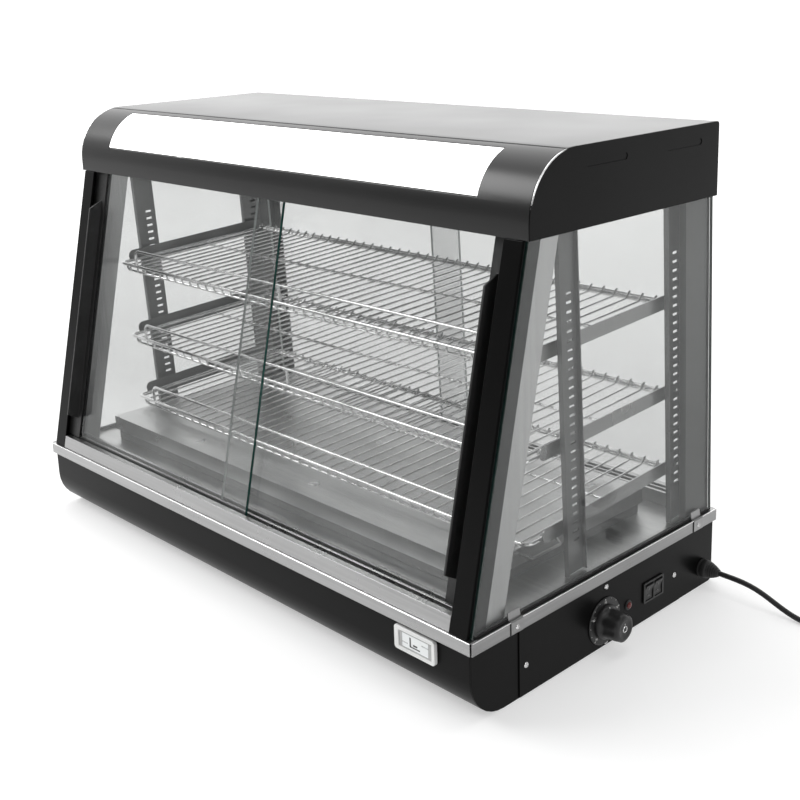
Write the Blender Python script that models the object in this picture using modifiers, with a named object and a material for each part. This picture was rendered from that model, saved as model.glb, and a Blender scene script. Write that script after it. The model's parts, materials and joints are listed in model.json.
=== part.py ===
"""Countertop hot food display case: heated base, sloping glass front, lit canopy, three wire shelves.

Units are metres, +Z is up, +X runs along the front from left to right and +Y goes from the front
to the back.  The origin is the middle of the flat underside.  Run it with
    blender --background --python part.py
or from Blender's text editor.
"""
import math

import bmesh
import bpy
from mathutils import Vector

# ---------------------------------------------------------------- driving dimensions
GAP = 0.0003                   # clearance kept between two pieces that touch

# base
BASE_HALF_W = 0.445            # half the width of the black base
BASE_FRONT_Y = -0.235
BASE_BACK_Y = 0.2325
BASE_TOP_Z = 0.1011            # top edge of the base sheets, hidden behind the trim
BASE_NOSE_R = 0.052            # large radius between the front and the underside
BASE_HEEL_R = 0.006            # small radius at the back
SHEET = 0.0015                 # thickness of the bent sheets

# stainless trim round the top of the base
TRIM_HALF_W = 0.450
TRIM_FRONT_Y = -0.240
TRIM_BACK_Y = 0.2325
TRIM_BOTTOM_Z = 0.0875
TRIM_TOP_Z = 0.103
TRIM_FLANGE = 0.014            # how far the trim reaches in over the front edge
CLIP_Y = (-0.176, 0.179)        # where the two clips on each side length start
CLIP_W = 0.020
CLIP_T = 0.0009
CLIP_RIVET_R = 0.0028
FLOOR_TOP_Z = 0.1012           # top of the inner floor pan
SILL_TOP_Z = 0.121

# glazed body: front and back planes, as y at the trim's top and slope of y with height
FRONT_Y0 = -0.237
FRONT_SLOPE = 0.2293
BACK_Y0 = 0.2254
BACK_SLOPE = -0.0418
BODY_BOTTOM_Z = TRIM_TOP_Z + GAP
BODY_TOP_Z = 0.535             # frame and side glass end inside the canopy
FRAME_IN_X = 0.4148            # inner edge of the corner frames
FRAME_OUT_X = 0.4410
GLASS_T = 0.004
SIDE_GLASS_X = 0.4415          # inner face of the side panes
POST_DEPTH = 0.0317
CHANNEL_DEPTH = 0.0300         # depth of the front corner channels that the doors run into
BACK_POST_DEPTH = 0.051
BACK_POST_IN_X = 0.4310
WALL = 0.002                   # wall of channels and hollow posts

# sliding doors; depths are measured in Y, inwards from the front or back plane
OUTER_PANE = (0.010, 0.014)
INNER_PANE = (0.020, 0.024)
DOOR_END_X = 0.418             # outer vertical edge of a pane
DOOR_OVERLAP_X = 0.0335        # the other edge runs this far past the middle
DOOR_BOTTOM_Z = 0.1135
DOOR_TOP_Z = 0.531
TRACK_Z = (0.525, 0.5385)
STILE_X = (0.388, 0.420)
STILE_SIDE = 0.002             # stile thickness on each face of the pane
FIN_X = (0.3965, 0.3995)
FIN_Z = (0.150, 0.480)
FIN_REACH = 0.019
FIN_CHAMFER = 0.010

# canopy
CANOPY_HALF_W = 0.4496
CANOPY_FRONT_Y = -0.1395
CANOPY_BACK_Y = 0.2105
CANOPY_BOTTOM_Z = 0.5216
CANOPY_TOP_Z = 0.612
CANOPY_NOSE_R = 0.073
WINDOW_HALF_W = 0.373
WINDOW_BOTTOM_Z = 0.560
WINDOW_TOP_DEG = 18.5            # the lamp window stops this far short of the flat top
CEILING_Z = 0.524

# shelf rack: the uprights lean forwards a little and the shelves are square to them
RACK_LEAN = math.atan(0.05)
UPRIGHT_W = 0.034
UPRIGHT_X = (0.4240, 0.4305)
UPRIGHT_TOP = 0.4325
FRONT_UPRIGHT_B = -0.033
BACK_UPRIGHT_B = 0.1725
SLOT_PITCH = 0.0112
SLOT_COUNT = 28
SLOT_FIRST = 0.0441
SLOT_OFFSET_B = 0.0045
SLOT_SIZE = (0.0105, 0.0035)
SHELF_LEVELS = {"lower": 0.0575, "middle": 0.1603, "upper": 0.2790}
SHELF_HALF_W = 0.4125
SHELF_B = (-0.0995, 0.176)
SHELF_CROSSBAR_B = 0.060
WIRE_PITCH = 0.020
WIRE_T = 0.003
SHELF_RAIL = 0.005
SHELF_T = 0.004
GUARD_RISE = 0.025
GUARD_HALF_W = 0.365
ARM_X = (0.3985, 0.4170)
ARM_B = (-0.078, 0.182)
ARM_T = 0.0015
ARM_H = 0.018
REAR_RAIL_RISE = 0.0044
REAR_RAIL_R = 0.0028

# heater box on the floor and its lift-off cover
COVER_X = (-0.394, 0.384)
COVER_Y = (-0.156, 0.160)
COVER_Z = (0.1165, 0.138)
COVER_T = 0.0012
HEATER_INSET = 0.004
ELEMENT_R = 0.004
ELEMENT_HALF_W = 0.330
ELEMENT_BEND_R = 0.070

# controls on the right-hand side of the base
PANEL_X = BASE_HALF_W + GAP
PANEL_T = 0.0012
PANEL_Y = (-0.158, 0.156)
PANEL_Z = (0.0012, 0.0870)
DIAL_Y = -0.004
DIAL_Z = 0.0350
DIAL_R = 0.030
KNOB_R = 0.0245
KNOB_DEPTH = 0.029
SHAFT_R = 0.003
PILOT_Y = 0.0445
PILOT_Z = 0.0365
PILOT_R = 0.0055
ROCKER_FRAME_Y = (0.075, 0.117)
ROCKER_FRAME_Z = (0.0257, 0.0530)
ROCKER_Y = {"lamp": 0.0865, "heat": 0.1055}
ROCKER_W = 0.0155
ROCKER_H = 0.0205
ROCKER_PIVOT_X = 0.4440
ROCKER_TILT_DEG = 8

# thermometer on the front of the base
THERMO_X = (0.331, 0.395)
THERMO_Z = (0.0545, 0.0843)
THERMO_DEPTH = 0.0052
THERMO_R = 0.004

# mains lead
CORD_R = 0.0035
GLAND_Y = 0.208
GLAND_Z = 0.0263
GLAND_TIP_X = 0.4722
GLAND_FLANGE_R = 0.0120
CORD_ROUTE = [                 # middle of the lead, from the gland down to the floor and the coil
    (0.4725, 0.2080, 0.0263), (0.4850, 0.2080, 0.0263), (0.4980, 0.2080, 0.0261),
    (0.5110, 0.2079, 0.0253), (0.5240, 0.2076, 0.0234), (0.5370, 0.2072, 0.0202),
    (0.5500, 0.2067, 0.0159), (0.5630, 0.2062, 0.0113), (0.5760, 0.2057, 0.0073),
    (0.5890, 0.2053, 0.0047), (0.6020, 0.2051, 0.0037), (0.6150, 0.2050, 0.0035),
]
COIL_X = 0.6462
COIL_Y = 0.2563
COIL_INNER_R = 0.0256
COIL_OUTER_R = 0.0549
COIL_H = 0.0146
PLUG_X = 0.6975
PLUG_START_Y = 0.2815
PLUG_AXIS_Z = 0.0185
PLUG_R = 0.018
PIN_R = 0.0024
PIN_SPACING = 0.019
PIN_LENGTH = 0.019

ROUND_STEPS = 24               # facets of a turned piece


# ---------------------------------------------------------------- scene and materials
def clear_scene():
    for obj in list(bpy.data.objects):
        bpy.data.objects.remove(obj, do_unlink=True)


def new_collection(name):
    made = bpy.data.collections.new(name)
    bpy.context.scene.collection.children.link(made)
    return made


def new_material(name, colour, roughness, metallic=0.0, transmission=0.0, glow=0.0):
    made = bpy.data.materials.new(name)
    made.use_nodes = True
    shader = made.node_tree.nodes["Principled BSDF"]
    shader.inputs["Base Color"].default_value = (*colour, 1.0)
    shader.inputs["Roughness"].default_value = roughness
    shader.inputs["Metallic"].default_value = metallic
    shader.inputs["Transmission Weight"].default_value = transmission
    if glow:
        shader.inputs["Emission Color"].default_value = (*colour, 1.0)
        shader.inputs["Emission Strength"].default_value = glow
    made.diffuse_color = (*colour, 1.0)
    return made


clear_scene()
CASE = new_collection("hot_food_display_case")
CUTTERS = new_collection("cutters")

BLACK = new_material("black_paint", (0.012, 0.012, 0.013), 0.42)
STEEL = new_material("brushed_stainless", (0.56, 0.56, 0.56), 0.30, metallic=1.0)
CHROME = new_material("chromed_wire", (0.72, 0.72, 0.73), 0.12, metallic=1.0)
GLASS = new_material("clear_glass", (0.93, 0.97, 0.96), 0.02, transmission=1.0)
PLASTIC = new_material("black_plastic", (0.015, 0.015, 0.015), 0.35)
WHITE = new_material("white_plastic", (0.82, 0.82, 0.80), 0.40)
OPAL = new_material("opal_diffuser", (0.95, 0.95, 0.95), 0.45, glow=2.0)
LAMP = new_material("lamp_white", (0.90, 0.90, 0.88), 0.30, glow=1.0)
RED = new_material("red_lens", (0.25, 0.01, 0.01), 0.15)
RUBBER = new_material("black_rubber", (0.018, 0.018, 0.018), 0.60)


# ---------------------------------------------------------------- modelling helpers
def place(obj, material=None, parent=None, collection=None):
    """Put an object in its collection with its material, under an optional parent."""
    (collection or CASE).objects.link(obj)
    if material is not None:
        obj.data.materials.append(material)
    if parent is not None:
        obj.parent = parent
    return obj


def as_cutter(obj):
    """Move an object to the cutters: it shapes other pieces and isn't one itself."""
    for home in list(obj.users_collection):
        home.objects.unlink(obj)
    CUTTERS.objects.link(obj)
    obj.hide_render = True
    obj.display_type = "WIRE"
    return obj


def box(name, x, y, z, material=None, parent=None, collection=None):
    """A box from its limits along each axis."""
    mesh = bpy.data.meshes.new(name)
    work = bmesh.new()
    bmesh.ops.create_cube(work, size=1.0)
    size = Vector((x[1] - x[0], y[1] - y[0], z[1] - z[0]))
    bmesh.ops.scale(work, vec=size, verts=work.verts)
    work.to_mesh(mesh)
    work.free()
    obj = bpy.data.objects.new(name, mesh)
    obj.location = ((x[0] + x[1]) / 2, (y[0] + y[1]) / 2, (z[0] + z[1]) / 2)
    return place(obj, material, parent, collection)


def flat_curve(name, loops, thickness):
    """A filled flat outline with optional holes, extruded by half its thickness each way."""
    curve = bpy.data.curves.new(name, "CURVE")
    curve.dimensions = "2D"
    curve.fill_mode = "BOTH"
    curve.extrude = thickness / 2
    for loop in loops:
        spline = curve.splines.new("POLY")
        spline.points.add(len(loop) - 1)
        for point, (u, v) in zip(spline.points, loop):
            point.co = (u, v, 0.0, 1.0)
        spline.use_cyclic_u = True
    return bpy.data.objects.new(name, curve)


def prism_x(name, loops, x, material=None, parent=None, collection=None):
    """Outlines of (y, z) points extruded between two x values."""
    obj = flat_curve(name, loops, x[1] - x[0])
    obj.rotation_euler = (math.pi / 2, 0.0, math.pi / 2)
    obj.location = ((x[0] + x[1]) / 2, 0.0, 0.0)
    return place(obj, material, parent, collection)


def prism_y(name, loops, y, material=None, parent=None, collection=None):
    """Outlines of (x, z) points extruded between two y values."""
    obj = flat_curve(name, loops, y[1] - y[0])
    obj.rotation_euler = (math.pi / 2, 0.0, 0.0)
    obj.location = (0.0, (y[0] + y[1]) / 2, 0.0)
    return place(obj, material, parent, collection)


def prism_z(name, loops, z, material=None, parent=None, collection=None):
    """Outlines of (x, y) points extruded between two z values."""
    obj = flat_curve(name, loops, z[1] - z[0])
    obj.location = (0.0, 0.0, (z[0] + z[1]) / 2)
    return place(obj, material, parent, collection)


def to_mesh(obj):
    """Swap a curve object for a welded mesh object, so that Booleans can use it."""
    bpy.context.view_layer.update()
    evaluated = obj.evaluated_get(bpy.context.evaluated_depsgraph_get())
    mesh = bpy.data.meshes.new_from_object(evaluated)
    work = bmesh.new()
    work.from_mesh(mesh)
    bmesh.ops.remove_doubles(work, verts=work.verts, dist=1e-6)
    work.to_mesh(mesh)
    work.free()
    name = obj.name
    parent = obj.parent
    local = obj.matrix_basis.copy()
    homes = list(obj.users_collection)
    bpy.data.objects.remove(obj, do_unlink=True)
    made = bpy.data.objects.new(name, mesh)
    for home in homes:
        home.objects.link(made)
    made.parent = parent
    made.matrix_basis = local
    return made


def boolean(target, other, operation, solver="EXACT"):
    """Cut or join with another object, which becomes a cutter."""
    modifier = target.modifiers.new(other.name, "BOOLEAN")
    modifier.operation = operation
    modifier.solver = solver
    modifier.object = as_cutter(other)
    return target


def cut(target, other):
    return boolean(target, other, "DIFFERENCE")


def join(target, other):
    return boolean(target, other, "UNION")


def rectangle(a, b):
    """Corners of the rectangle between two (low, high) spans, anticlockwise."""
    return [(a[0], b[0]), (a[1], b[0]), (a[1], b[1]), (a[0], b[1])]


def arc(centre, radius, start_deg, end_deg, steps):
    """Points along an arc, both ends included."""
    points = []
    for step in range(steps + 1):
        angle = math.radians(start_deg + (end_deg - start_deg) * step / steps)
        points.append((centre[0] + radius * math.cos(angle), centre[1] + radius * math.sin(angle)))
    return points


def circle(centre, radius, steps=ROUND_STEPS):
    return arc(centre, radius, 0, 360, steps)[:-1]


def rounded_rectangle(a, b, radius, steps=4):
    return (
        arc((a[1] - radius, b[0] + radius), radius, -90, 0, steps)
        + arc((a[1] - radius, b[1] - radius), radius, 0, 90, steps)
        + arc((a[0] + radius, b[1] - radius), radius, 90, 180, steps)
        + arc((a[0] + radius, b[0] + radius), radius, 180, 270, steps)
    )


def sheet_outline(path, thickness):
    """The closed outline of a bent sheet: a path and the same path moved over to its left."""
    moved = []
    for index, point in enumerate(path):
        before = path[max(index - 1, 0)]
        after = path[min(index + 1, len(path) - 1)]
        into = Vector(point) - Vector(before)
        out = Vector(after) - Vector(point)
        into = into.normalized() if into.length else out.normalized()
        out = out.normalized() if out.length else into
        normal = Vector((-(into.y + out.y), into.x + out.x)).normalized()
        reach = thickness / max(normal.dot(Vector((-into.y, into.x))), 0.5)
        moved.append((point[0] + normal.x * reach, point[1] + normal.y * reach))
    return path + moved[::-1]


def tube(name, points, radius, material=None, parent=None, collection=None, closed=False):
    """A round wire or pipe along a list of points."""
    curve = bpy.data.curves.new(name, "CURVE")
    curve.dimensions = "3D"
    curve.bevel_depth = radius
    curve.bevel_resolution = 2
    curve.use_fill_caps = True
    spline = curve.splines.new("POLY")
    spline.points.add(len(points) - 1)
    for point, place_at in zip(spline.points, points):
        point.co = (*place_at, 1.0)
    spline.use_cyclic_u = closed
    return place(bpy.data.objects.new(name, curve), material, parent, collection)


def turned(name, profile, location, direction, material=None, steps=ROUND_STEPS):
    """A turned piece: (radius, height) points, top to bottom down its outer side, spun round an axis."""
    mesh = bpy.data.meshes.new(name)
    work = bmesh.new()
    verts = [work.verts.new((radius, 0.0, height)) for radius, height in profile]
    for first, second in zip(verts, verts[1:]):
        work.edges.new((first, second))
    work.to_mesh(mesh)
    work.free()
    obj = bpy.data.objects.new(name, mesh)
    spin = obj.modifiers.new("spin", "SCREW")
    spin.steps = steps
    spin.render_steps = steps
    spin.use_merge_vertices = True
    spin.merge_threshold = 0.00001
    obj.location = location
    obj.rotation_euler = Vector(direction).to_track_quat("Z", "Y").to_euler()
    return place(obj, material)


def front_y(z, depth=0.0):
    """Y of the leaning front plane at a height, moved inwards by depth."""
    return FRONT_Y0 + FRONT_SLOPE * (z - TRIM_TOP_Z) + depth


def back_y(z, depth=0.0):
    """Y of the back plane at a height, moved inwards by depth."""
    return BACK_Y0 + BACK_SLOPE * (z - TRIM_TOP_Z) - depth


def leaning(plane, depth, z):
    """The (y, z) outline of a slab that lies along the front or back plane."""
    return [
        (plane(z[0], depth[0]), z[0]),
        (plane(z[0], depth[1]), z[0]),
        (plane(z[1], depth[1]), z[1]),
        (plane(z[1], depth[0]), z[1]),
    ]


def mirrored(side, span):
    """A span of x values on the right-hand side, or its mirror on the left."""
    return span if side > 0 else (-span[1], -span[0])


SIDES = {"left": -1, "right": 1}


# ---------------------------------------------------------------- base
def base_path():
    """The base's side outline as an open path: down the front, along the underside, up the back."""
    return (
        [(BASE_FRONT_Y, BASE_TOP_Z)]
        + arc((BASE_FRONT_Y + BASE_NOSE_R, BASE_NOSE_R), BASE_NOSE_R, 180, 270, 8)
        + arc((BASE_BACK_Y - BASE_HEEL_R, BASE_HEEL_R), BASE_HEEL_R, 270, 360, 3)
        + [(BASE_BACK_Y, BASE_TOP_Z)]
    )


def build_base():
    """The bent wrapper sheet and the two side plates of the base."""
    inner = BASE_HALF_W - SHEET - GAP
    prism_x("base_wrap", [sheet_outline(base_path(), SHEET)], (-inner, inner), BLACK)
    left = (-BASE_HALF_W, -BASE_HALF_W + SHEET)
    right = (BASE_HALF_W - SHEET, BASE_HALF_W)
    prism_x("base_side_left", [base_path()], left, BLACK)
    controls = rectangle((-0.142, 0.128), (0.012, 0.074))
    gland = circle((GLAND_Y, GLAND_Z), 0.0066)
    prism_x("base_side_right", [base_path(), controls, gland], right, BLACK)


def build_trim():
    """Stainless angle round the top of the base, in three lengths."""
    front_face = (TRIM_FRONT_Y, TRIM_FRONT_Y + SHEET)
    flange = (TRIM_FRONT_Y, TRIM_FRONT_Y + TRIM_FLANGE)
    flange_z = TRIM_TOP_Z - SHEET
    outline = [
        (front_face[0], TRIM_BOTTOM_Z),
        (front_face[1], TRIM_BOTTOM_Z),
        (front_face[1], flange_z),
        (flange[1], flange_z),
        (flange[1], TRIM_TOP_Z),
        (front_face[0], TRIM_TOP_Z),
    ]
    end = TRIM_HALF_W - SHEET - 0.0007
    prism_x("trim_front", [outline], (-end, end), STEEL)
    for name, side in SIDES.items():
        inner = TRIM_HALF_W - 0.0105
        section = [
            (side * TRIM_HALF_W, TRIM_BOTTOM_Z),
            (side * TRIM_HALF_W, TRIM_TOP_Z),
            (side * inner, TRIM_TOP_Z),
            (side * inner, flange_z),
            (side * (TRIM_HALF_W - SHEET), flange_z),
            (side * (TRIM_HALF_W - SHEET), TRIM_BOTTOM_Z),
        ]
        span = (TRIM_FRONT_Y + 0.002, TRIM_BACK_Y)
        trim = to_mesh(prism_y("trim_" + name, [section], span, STEEL))
        corner_x = mirrored(side, (0.42, TRIM_HALF_W - SHEET - GAP))
        corner = box(
            "trim_corner_" + name,
            corner_x,
            (TRIM_FRONT_Y - 0.01, flange[1] + GAP),
            (flange_z - 0.001, TRIM_TOP_Z + 0.001),
        )
        cut(trim, corner)
        for index, low in enumerate(CLIP_Y):
            clip_x = mirrored(side, (TRIM_HALF_W - 0.0005, TRIM_HALF_W + CLIP_T))
            clip_z = (TRIM_BOTTOM_Z + 0.0005, TRIM_TOP_Z - 0.0005)
            clip = box("trim_clip_%s_%d" % (name, index), clip_x, (low, low + CLIP_W), clip_z)
            join(trim, clip)
            head = [(0.0, 0.0022), (0.0016, 0.0018), (CLIP_RIVET_R, 0.0), (0.0, 0.0)]
            at = (side * (TRIM_HALF_W + CLIP_T - 0.0002), low + CLIP_W / 2, sum(clip_z) / 2)
            join(trim, turned("clip_rivet_%s_%d" % (name, index), head, at, (side, 0, 0), None, 12))


def build_floor():
    """The stainless floor pan that closes the base."""
    pan_x = BASE_HALF_W - SHEET - GAP
    box(
        "floor_pan",
        (-pan_x, pan_x),
        (BASE_FRONT_Y + SHEET + GAP, BASE_BACK_Y - SHEET - GAP),
        (FLOOR_TOP_Z - 0.0014, FLOOR_TOP_Z),
        STEEL,
    )


def build_heater():
    """Heater box with its bent element, and the lift-off cover with a wire handle at each end."""
    box_x = (COVER_X[0] + HEATER_INSET, COVER_X[1] - HEATER_INSET)
    box_y = (COVER_Y[0] + HEATER_INSET, COVER_Y[1] - HEATER_INSET)
    box_z = (FLOOR_TOP_Z + GAP, 0.131)
    heater = box("heater_box", box_x, box_y, box_z, STEEL)
    hollow = box(
        "heater_box_hollow",
        (box_x[0] + COVER_T, box_x[1] - COVER_T),
        (box_y[0] + COVER_T, box_y[1] - COVER_T),
        (box_z[0] + COVER_T, box_z[1] + 0.01),
    )
    cut(heater, hollow)

    cover = box("heater_cover", COVER_X, COVER_Y, COVER_Z, STEEL)
    under = box(
        "heater_cover_hollow",
        (COVER_X[0] + COVER_T, COVER_X[1] - COVER_T),
        (COVER_Y[0] + COVER_T, COVER_Y[1] - COVER_T),
        (COVER_Z[0] - 0.01, COVER_Z[1] - COVER_T),
    )
    cut(cover, under)
    for name, side in SIDES.items():
        end = COVER_X[1] if side > 0 else COVER_X[0]
        root = end - side * 0.0006
        reach = end + side * 0.0132
        wire = [
            (root, -0.085, 0.131),
            (reach, -0.078, 0.1265),
            (reach, -0.026, 0.1265),
            (root, -0.019, 0.131),
        ]
        join(cover, to_mesh(tube("cover_handle_" + name, wire, 0.002)))

    z = 0.1175
    bend = ELEMENT_BEND_R
    points = [(-ELEMENT_HALF_W, -bend, z)]
    points += [(x, y, z) for x, y in arc((ELEMENT_HALF_W - bend, 0.0), bend, -90, 90, 10)]
    points += [(-ELEMENT_HALF_W, bend, z)]
    tube("heating_element", points, ELEMENT_R, STEEL)


# ---------------------------------------------------------------- glazed body
def build_sills():
    """Bottom rails with a groove for each sliding pane."""
    top = SILL_TOP_Z
    groove_z = top - 0.0095
    step_y = TRIM_FRONT_Y + TRIM_FLANGE + GAP
    floor = FLOOR_TOP_Z + GAP
    outline = [(front_y(BODY_BOTTOM_Z), BODY_BOTTOM_Z), (front_y(top), top)]
    for pane in (OUTER_PANE, INNER_PANE):
        low, high = pane[0] - 0.0014, pane[1] + 0.0014
        outline += [
            (front_y(top, low), top),
            (front_y(groove_z, low), groove_z),
            (front_y(groove_z, high), groove_z),
            (front_y(top, high), top),
        ]
    outline += [
        (front_y(top, CHANNEL_DEPTH), top),
        (front_y(floor, CHANNEL_DEPTH), floor),
        (step_y, floor),
        (step_y, BODY_BOTTOM_Z),
    ]
    span = (-FRAME_IN_X + GAP, FRAME_IN_X - GAP)
    prism_x("front_sill", [outline[::-1]], span, STEEL)

    outline = [(back_y(BODY_BOTTOM_Z), TRIM_TOP_Z), (back_y(top), top)]
    for pane in (OUTER_PANE, INNER_PANE):
        low, high = pane[0] - 0.0014, pane[1] + 0.0014
        outline += [
            (back_y(top, low), top),
            (back_y(groove_z, low), groove_z),
            (back_y(groove_z, high), groove_z),
            (back_y(top, high), top),
        ]
    outline += [
        (back_y(top, CHANNEL_DEPTH), top),
        (back_y(floor, CHANNEL_DEPTH), floor),
        (BASE_BACK_Y + 0.0005, floor),
        (BASE_BACK_Y + 0.0005, TRIM_BOTTOM_Z),
        (TRIM_BACK_Y + 0.002, TRIM_BOTTOM_Z),
        (TRIM_BACK_Y + 0.002, TRIM_TOP_Z),
    ]
    prism_x("back_sill", [outline], span, STEEL)


def build_corner_frames():
    """Black front channels, stainless front posts and stainless back posts."""
    channel_z = (BODY_BOTTOM_Z, CANOPY_BOTTOM_Z - GAP)
    back_z = (BODY_BOTTOM_Z, BODY_TOP_Z)
    post_z = (FLOOR_TOP_Z + GAP, BODY_TOP_Z)
    for name, side in SIDES.items():
        plate_x = mirrored(side, (FRAME_IN_X, FRAME_OUT_X))
        leg_x = mirrored(side, (FRAME_OUT_X - WALL, FRAME_OUT_X))
        strip = to_mesh(
            prism_x("front_channel_" + name, [leaning(front_y, (0.0, WALL), channel_z)], plate_x, BLACK)
        )
        leg = prism_x("channel_leg_" + name, [leaning(front_y, (0.0, CHANNEL_DEPTH), channel_z)], leg_x)
        join(strip, to_mesh(leg))

        post_x = (FRAME_IN_X + GAP, FRAME_OUT_X - WALL)
        near = CHANNEL_DEPTH + GAP
        depth = (near, near + POST_DEPTH)
        post = to_mesh(
            prism_x("front_post_" + name, [leaning(front_y, depth, post_z)], mirrored(side, post_x), STEEL)
        )
        hollow = prism_x(
            "front_post_hollow_" + name,
            [leaning(front_y, (depth[0] + WALL, depth[1] - WALL), (0.08, 0.56))],
            mirrored(side, (post_x[0] + WALL, post_x[1] - WALL)),
        )
        cut(post, to_mesh(hollow))

        back = to_mesh(
            prism_x("back_post_" + name, [leaning(back_y, (0.0, BACK_POST_DEPTH), back_z)], plate_x, STEEL)
        )
        pocket = prism_x(
            "back_post_pocket_" + name,
            [leaning(back_y, (WALL, BACK_POST_DEPTH + 0.01), (0.08, 0.56))],
            mirrored(side, (FRAME_IN_X - 0.01, BACK_POST_IN_X)),
        )
        cut(back, to_mesh(pocket))


def build_side_glass():
    """Fixed side panes, leaning at the front and nearly upright at the back."""
    bottom, top = BODY_BOTTOM_Z, BODY_TOP_Z
    outline = [
        (front_y(bottom, 0.0045), bottom),
        (back_y(bottom, 0.0005), bottom),
        (back_y(top, 0.0005), top),
        (front_y(top, 0.0045), top),
    ]
    for name, side in SIDES.items():
        x = mirrored(side, (SIDE_GLASS_X, SIDE_GLASS_X + GLASS_T))
        prism_x("side_glass_" + name, [outline], x, GLASS)


def build_front_doors():
    """Two sliding panes; the left one runs in the outer groove. Each has a stile with a finger fin."""
    panes = {"left": OUTER_PANE, "right": INNER_PANE}
    for name, side in SIDES.items():
        near, far = panes[name]
        x = mirrored(side, (-DOOR_OVERLAP_X, DOOR_END_X))
        door_z = (DOOR_BOTTOM_Z, DOOR_TOP_Z)
        prism_x("front_door_glass_" + name, [leaning(front_y, (near, far), door_z)], x, GLASS)

        stile_z = (SILL_TOP_Z + 0.001, CANOPY_BOTTOM_Z + 0.002)
        outer = (near - STILE_SIDE, far + STILE_SIDE)
        stile = to_mesh(
            prism_x(
                "front_door_handle_" + name,
                [leaning(front_y, outer, stile_z)],
                mirrored(side, STILE_X),
                PLASTIC,
            )
        )
        slot = prism_x(
            "stile_slot_" + name,
            [leaning(front_y, (near - GAP, far + GAP), (0.09, 0.56))],
            mirrored(side, (STILE_X[0] - 0.01, DOOR_END_X + GAP)),
        )
        cut(stile, to_mesh(slot))
        root = outer[0] + 0.0005
        tip = outer[0] - FIN_REACH
        low, high = FIN_Z
        fin_outline = [
            (front_y(low, root), low),
            (front_y(high, root), high),
            (front_y(high - FIN_CHAMFER, tip), high - FIN_CHAMFER),
            (front_y(low + FIN_CHAMFER, tip), low + FIN_CHAMFER),
        ]
        fin = prism_x("stile_fin_" + name, [fin_outline], mirrored(side, FIN_X))
        join(stile, to_mesh(fin))


def build_back_doors():
    """Two plain sliding panes at the back; the right one runs in the outer groove."""
    panes = {"left": INNER_PANE, "right": OUTER_PANE}
    for name, side in SIDES.items():
        x = mirrored(side, (-DOOR_OVERLAP_X, DOOR_END_X))
        outline = leaning(back_y, panes[name], (DOOR_BOTTOM_Z, DOOR_TOP_Z))
        prism_x("back_door_glass_" + name, [outline], x, GLASS)


def build_top_tracks():
    """Grooved rails under the canopy that hold the tops of the doors."""
    low, high = TRACK_Z
    groove_top = high - 0.004
    for name, plane in (("front", front_y), ("back", back_y)):
        outline = [(plane(low, 0.003), low)]
        for pane in (OUTER_PANE, INNER_PANE):
            near, far = pane[0] - 0.0014, pane[1] + 0.0014
            outline += [
                (plane(low, near), low),
                (plane(groove_top, near), groove_top),
                (plane(groove_top, far), groove_top),
                (plane(low, far), low),
            ]
        outline += [
            (plane(low, 0.031), low),
            (plane(high, 0.031), high),
            (plane(high, 0.003), high),
        ]
        span = (-FRAME_IN_X + GAP, FRAME_IN_X - GAP)
        prism_x(name + "_top_track", [outline], span, STEEL)


# ---------------------------------------------------------------- canopy
def canopy_path():
    """The canopy's side outline as an open path: up the front, over the top, down the back."""
    nose = (CANOPY_FRONT_Y + CANOPY_NOSE_R, CANOPY_TOP_Z - CANOPY_NOSE_R)
    heel_r = 0.004
    return (
        [(CANOPY_FRONT_Y, CANOPY_BOTTOM_Z)]
        + arc(nose, CANOPY_NOSE_R, 180, 90, 12)
        + arc((CANOPY_BACK_Y - heel_r, CANOPY_TOP_Z - heel_r), heel_r, 90, 0, 3)
        + [(CANOPY_BACK_Y, CANOPY_BOTTOM_Z)]
    )


def build_canopy():
    """The bent cover with its lamp window, the end plates and the ceiling under the lamp."""
    inner = CANOPY_HALF_W - SHEET - GAP
    path = canopy_path()
    cover = to_mesh(
        prism_x("canopy_cover", [sheet_outline(path[::-1], SHEET)], (-inner, inner), BLACK)
    )
    window_y = CANOPY_FRONT_Y + CANOPY_NOSE_R * (1 - math.sin(math.radians(WINDOW_TOP_DEG)))
    window = box(
        "lamp_window",
        (-WINDOW_HALF_W, WINDOW_HALF_W),
        (CANOPY_FRONT_Y - 0.02, window_y),
        (WINDOW_BOTTOM_Z, CANOPY_TOP_Z + 0.02),
    )
    cut(cover, window)

    pills = [(-0.047, 0.027), (0.102, 0.174)]
    for name, side in SIDES.items():
        x = mirrored(side, (CANOPY_HALF_W - SHEET, CANOPY_HALF_W))
        end = to_mesh(prism_x("canopy_end_" + name, [path], x, BLACK))
        recess_x = mirrored(side, (CANOPY_HALF_W - 0.0007, CANOPY_HALF_W + 0.002))
        for index, span in enumerate(pills):
            outline = rounded_rectangle(span, (0.5875, 0.5955), 0.0039)
            pill = prism_x("emboss_%s_%d" % (name, index), [outline], recess_x)
            cut(end, to_mesh(pill))

    front = front_y(CEILING_Z, 0.0325)
    back = back_y(CEILING_Z, 0.0325)
    x = FRAME_IN_X - GAP
    box("ceiling_panel", (-x, x), (front, back), (CEILING_Z, CEILING_Z + 0.0012), STEEL)


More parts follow.
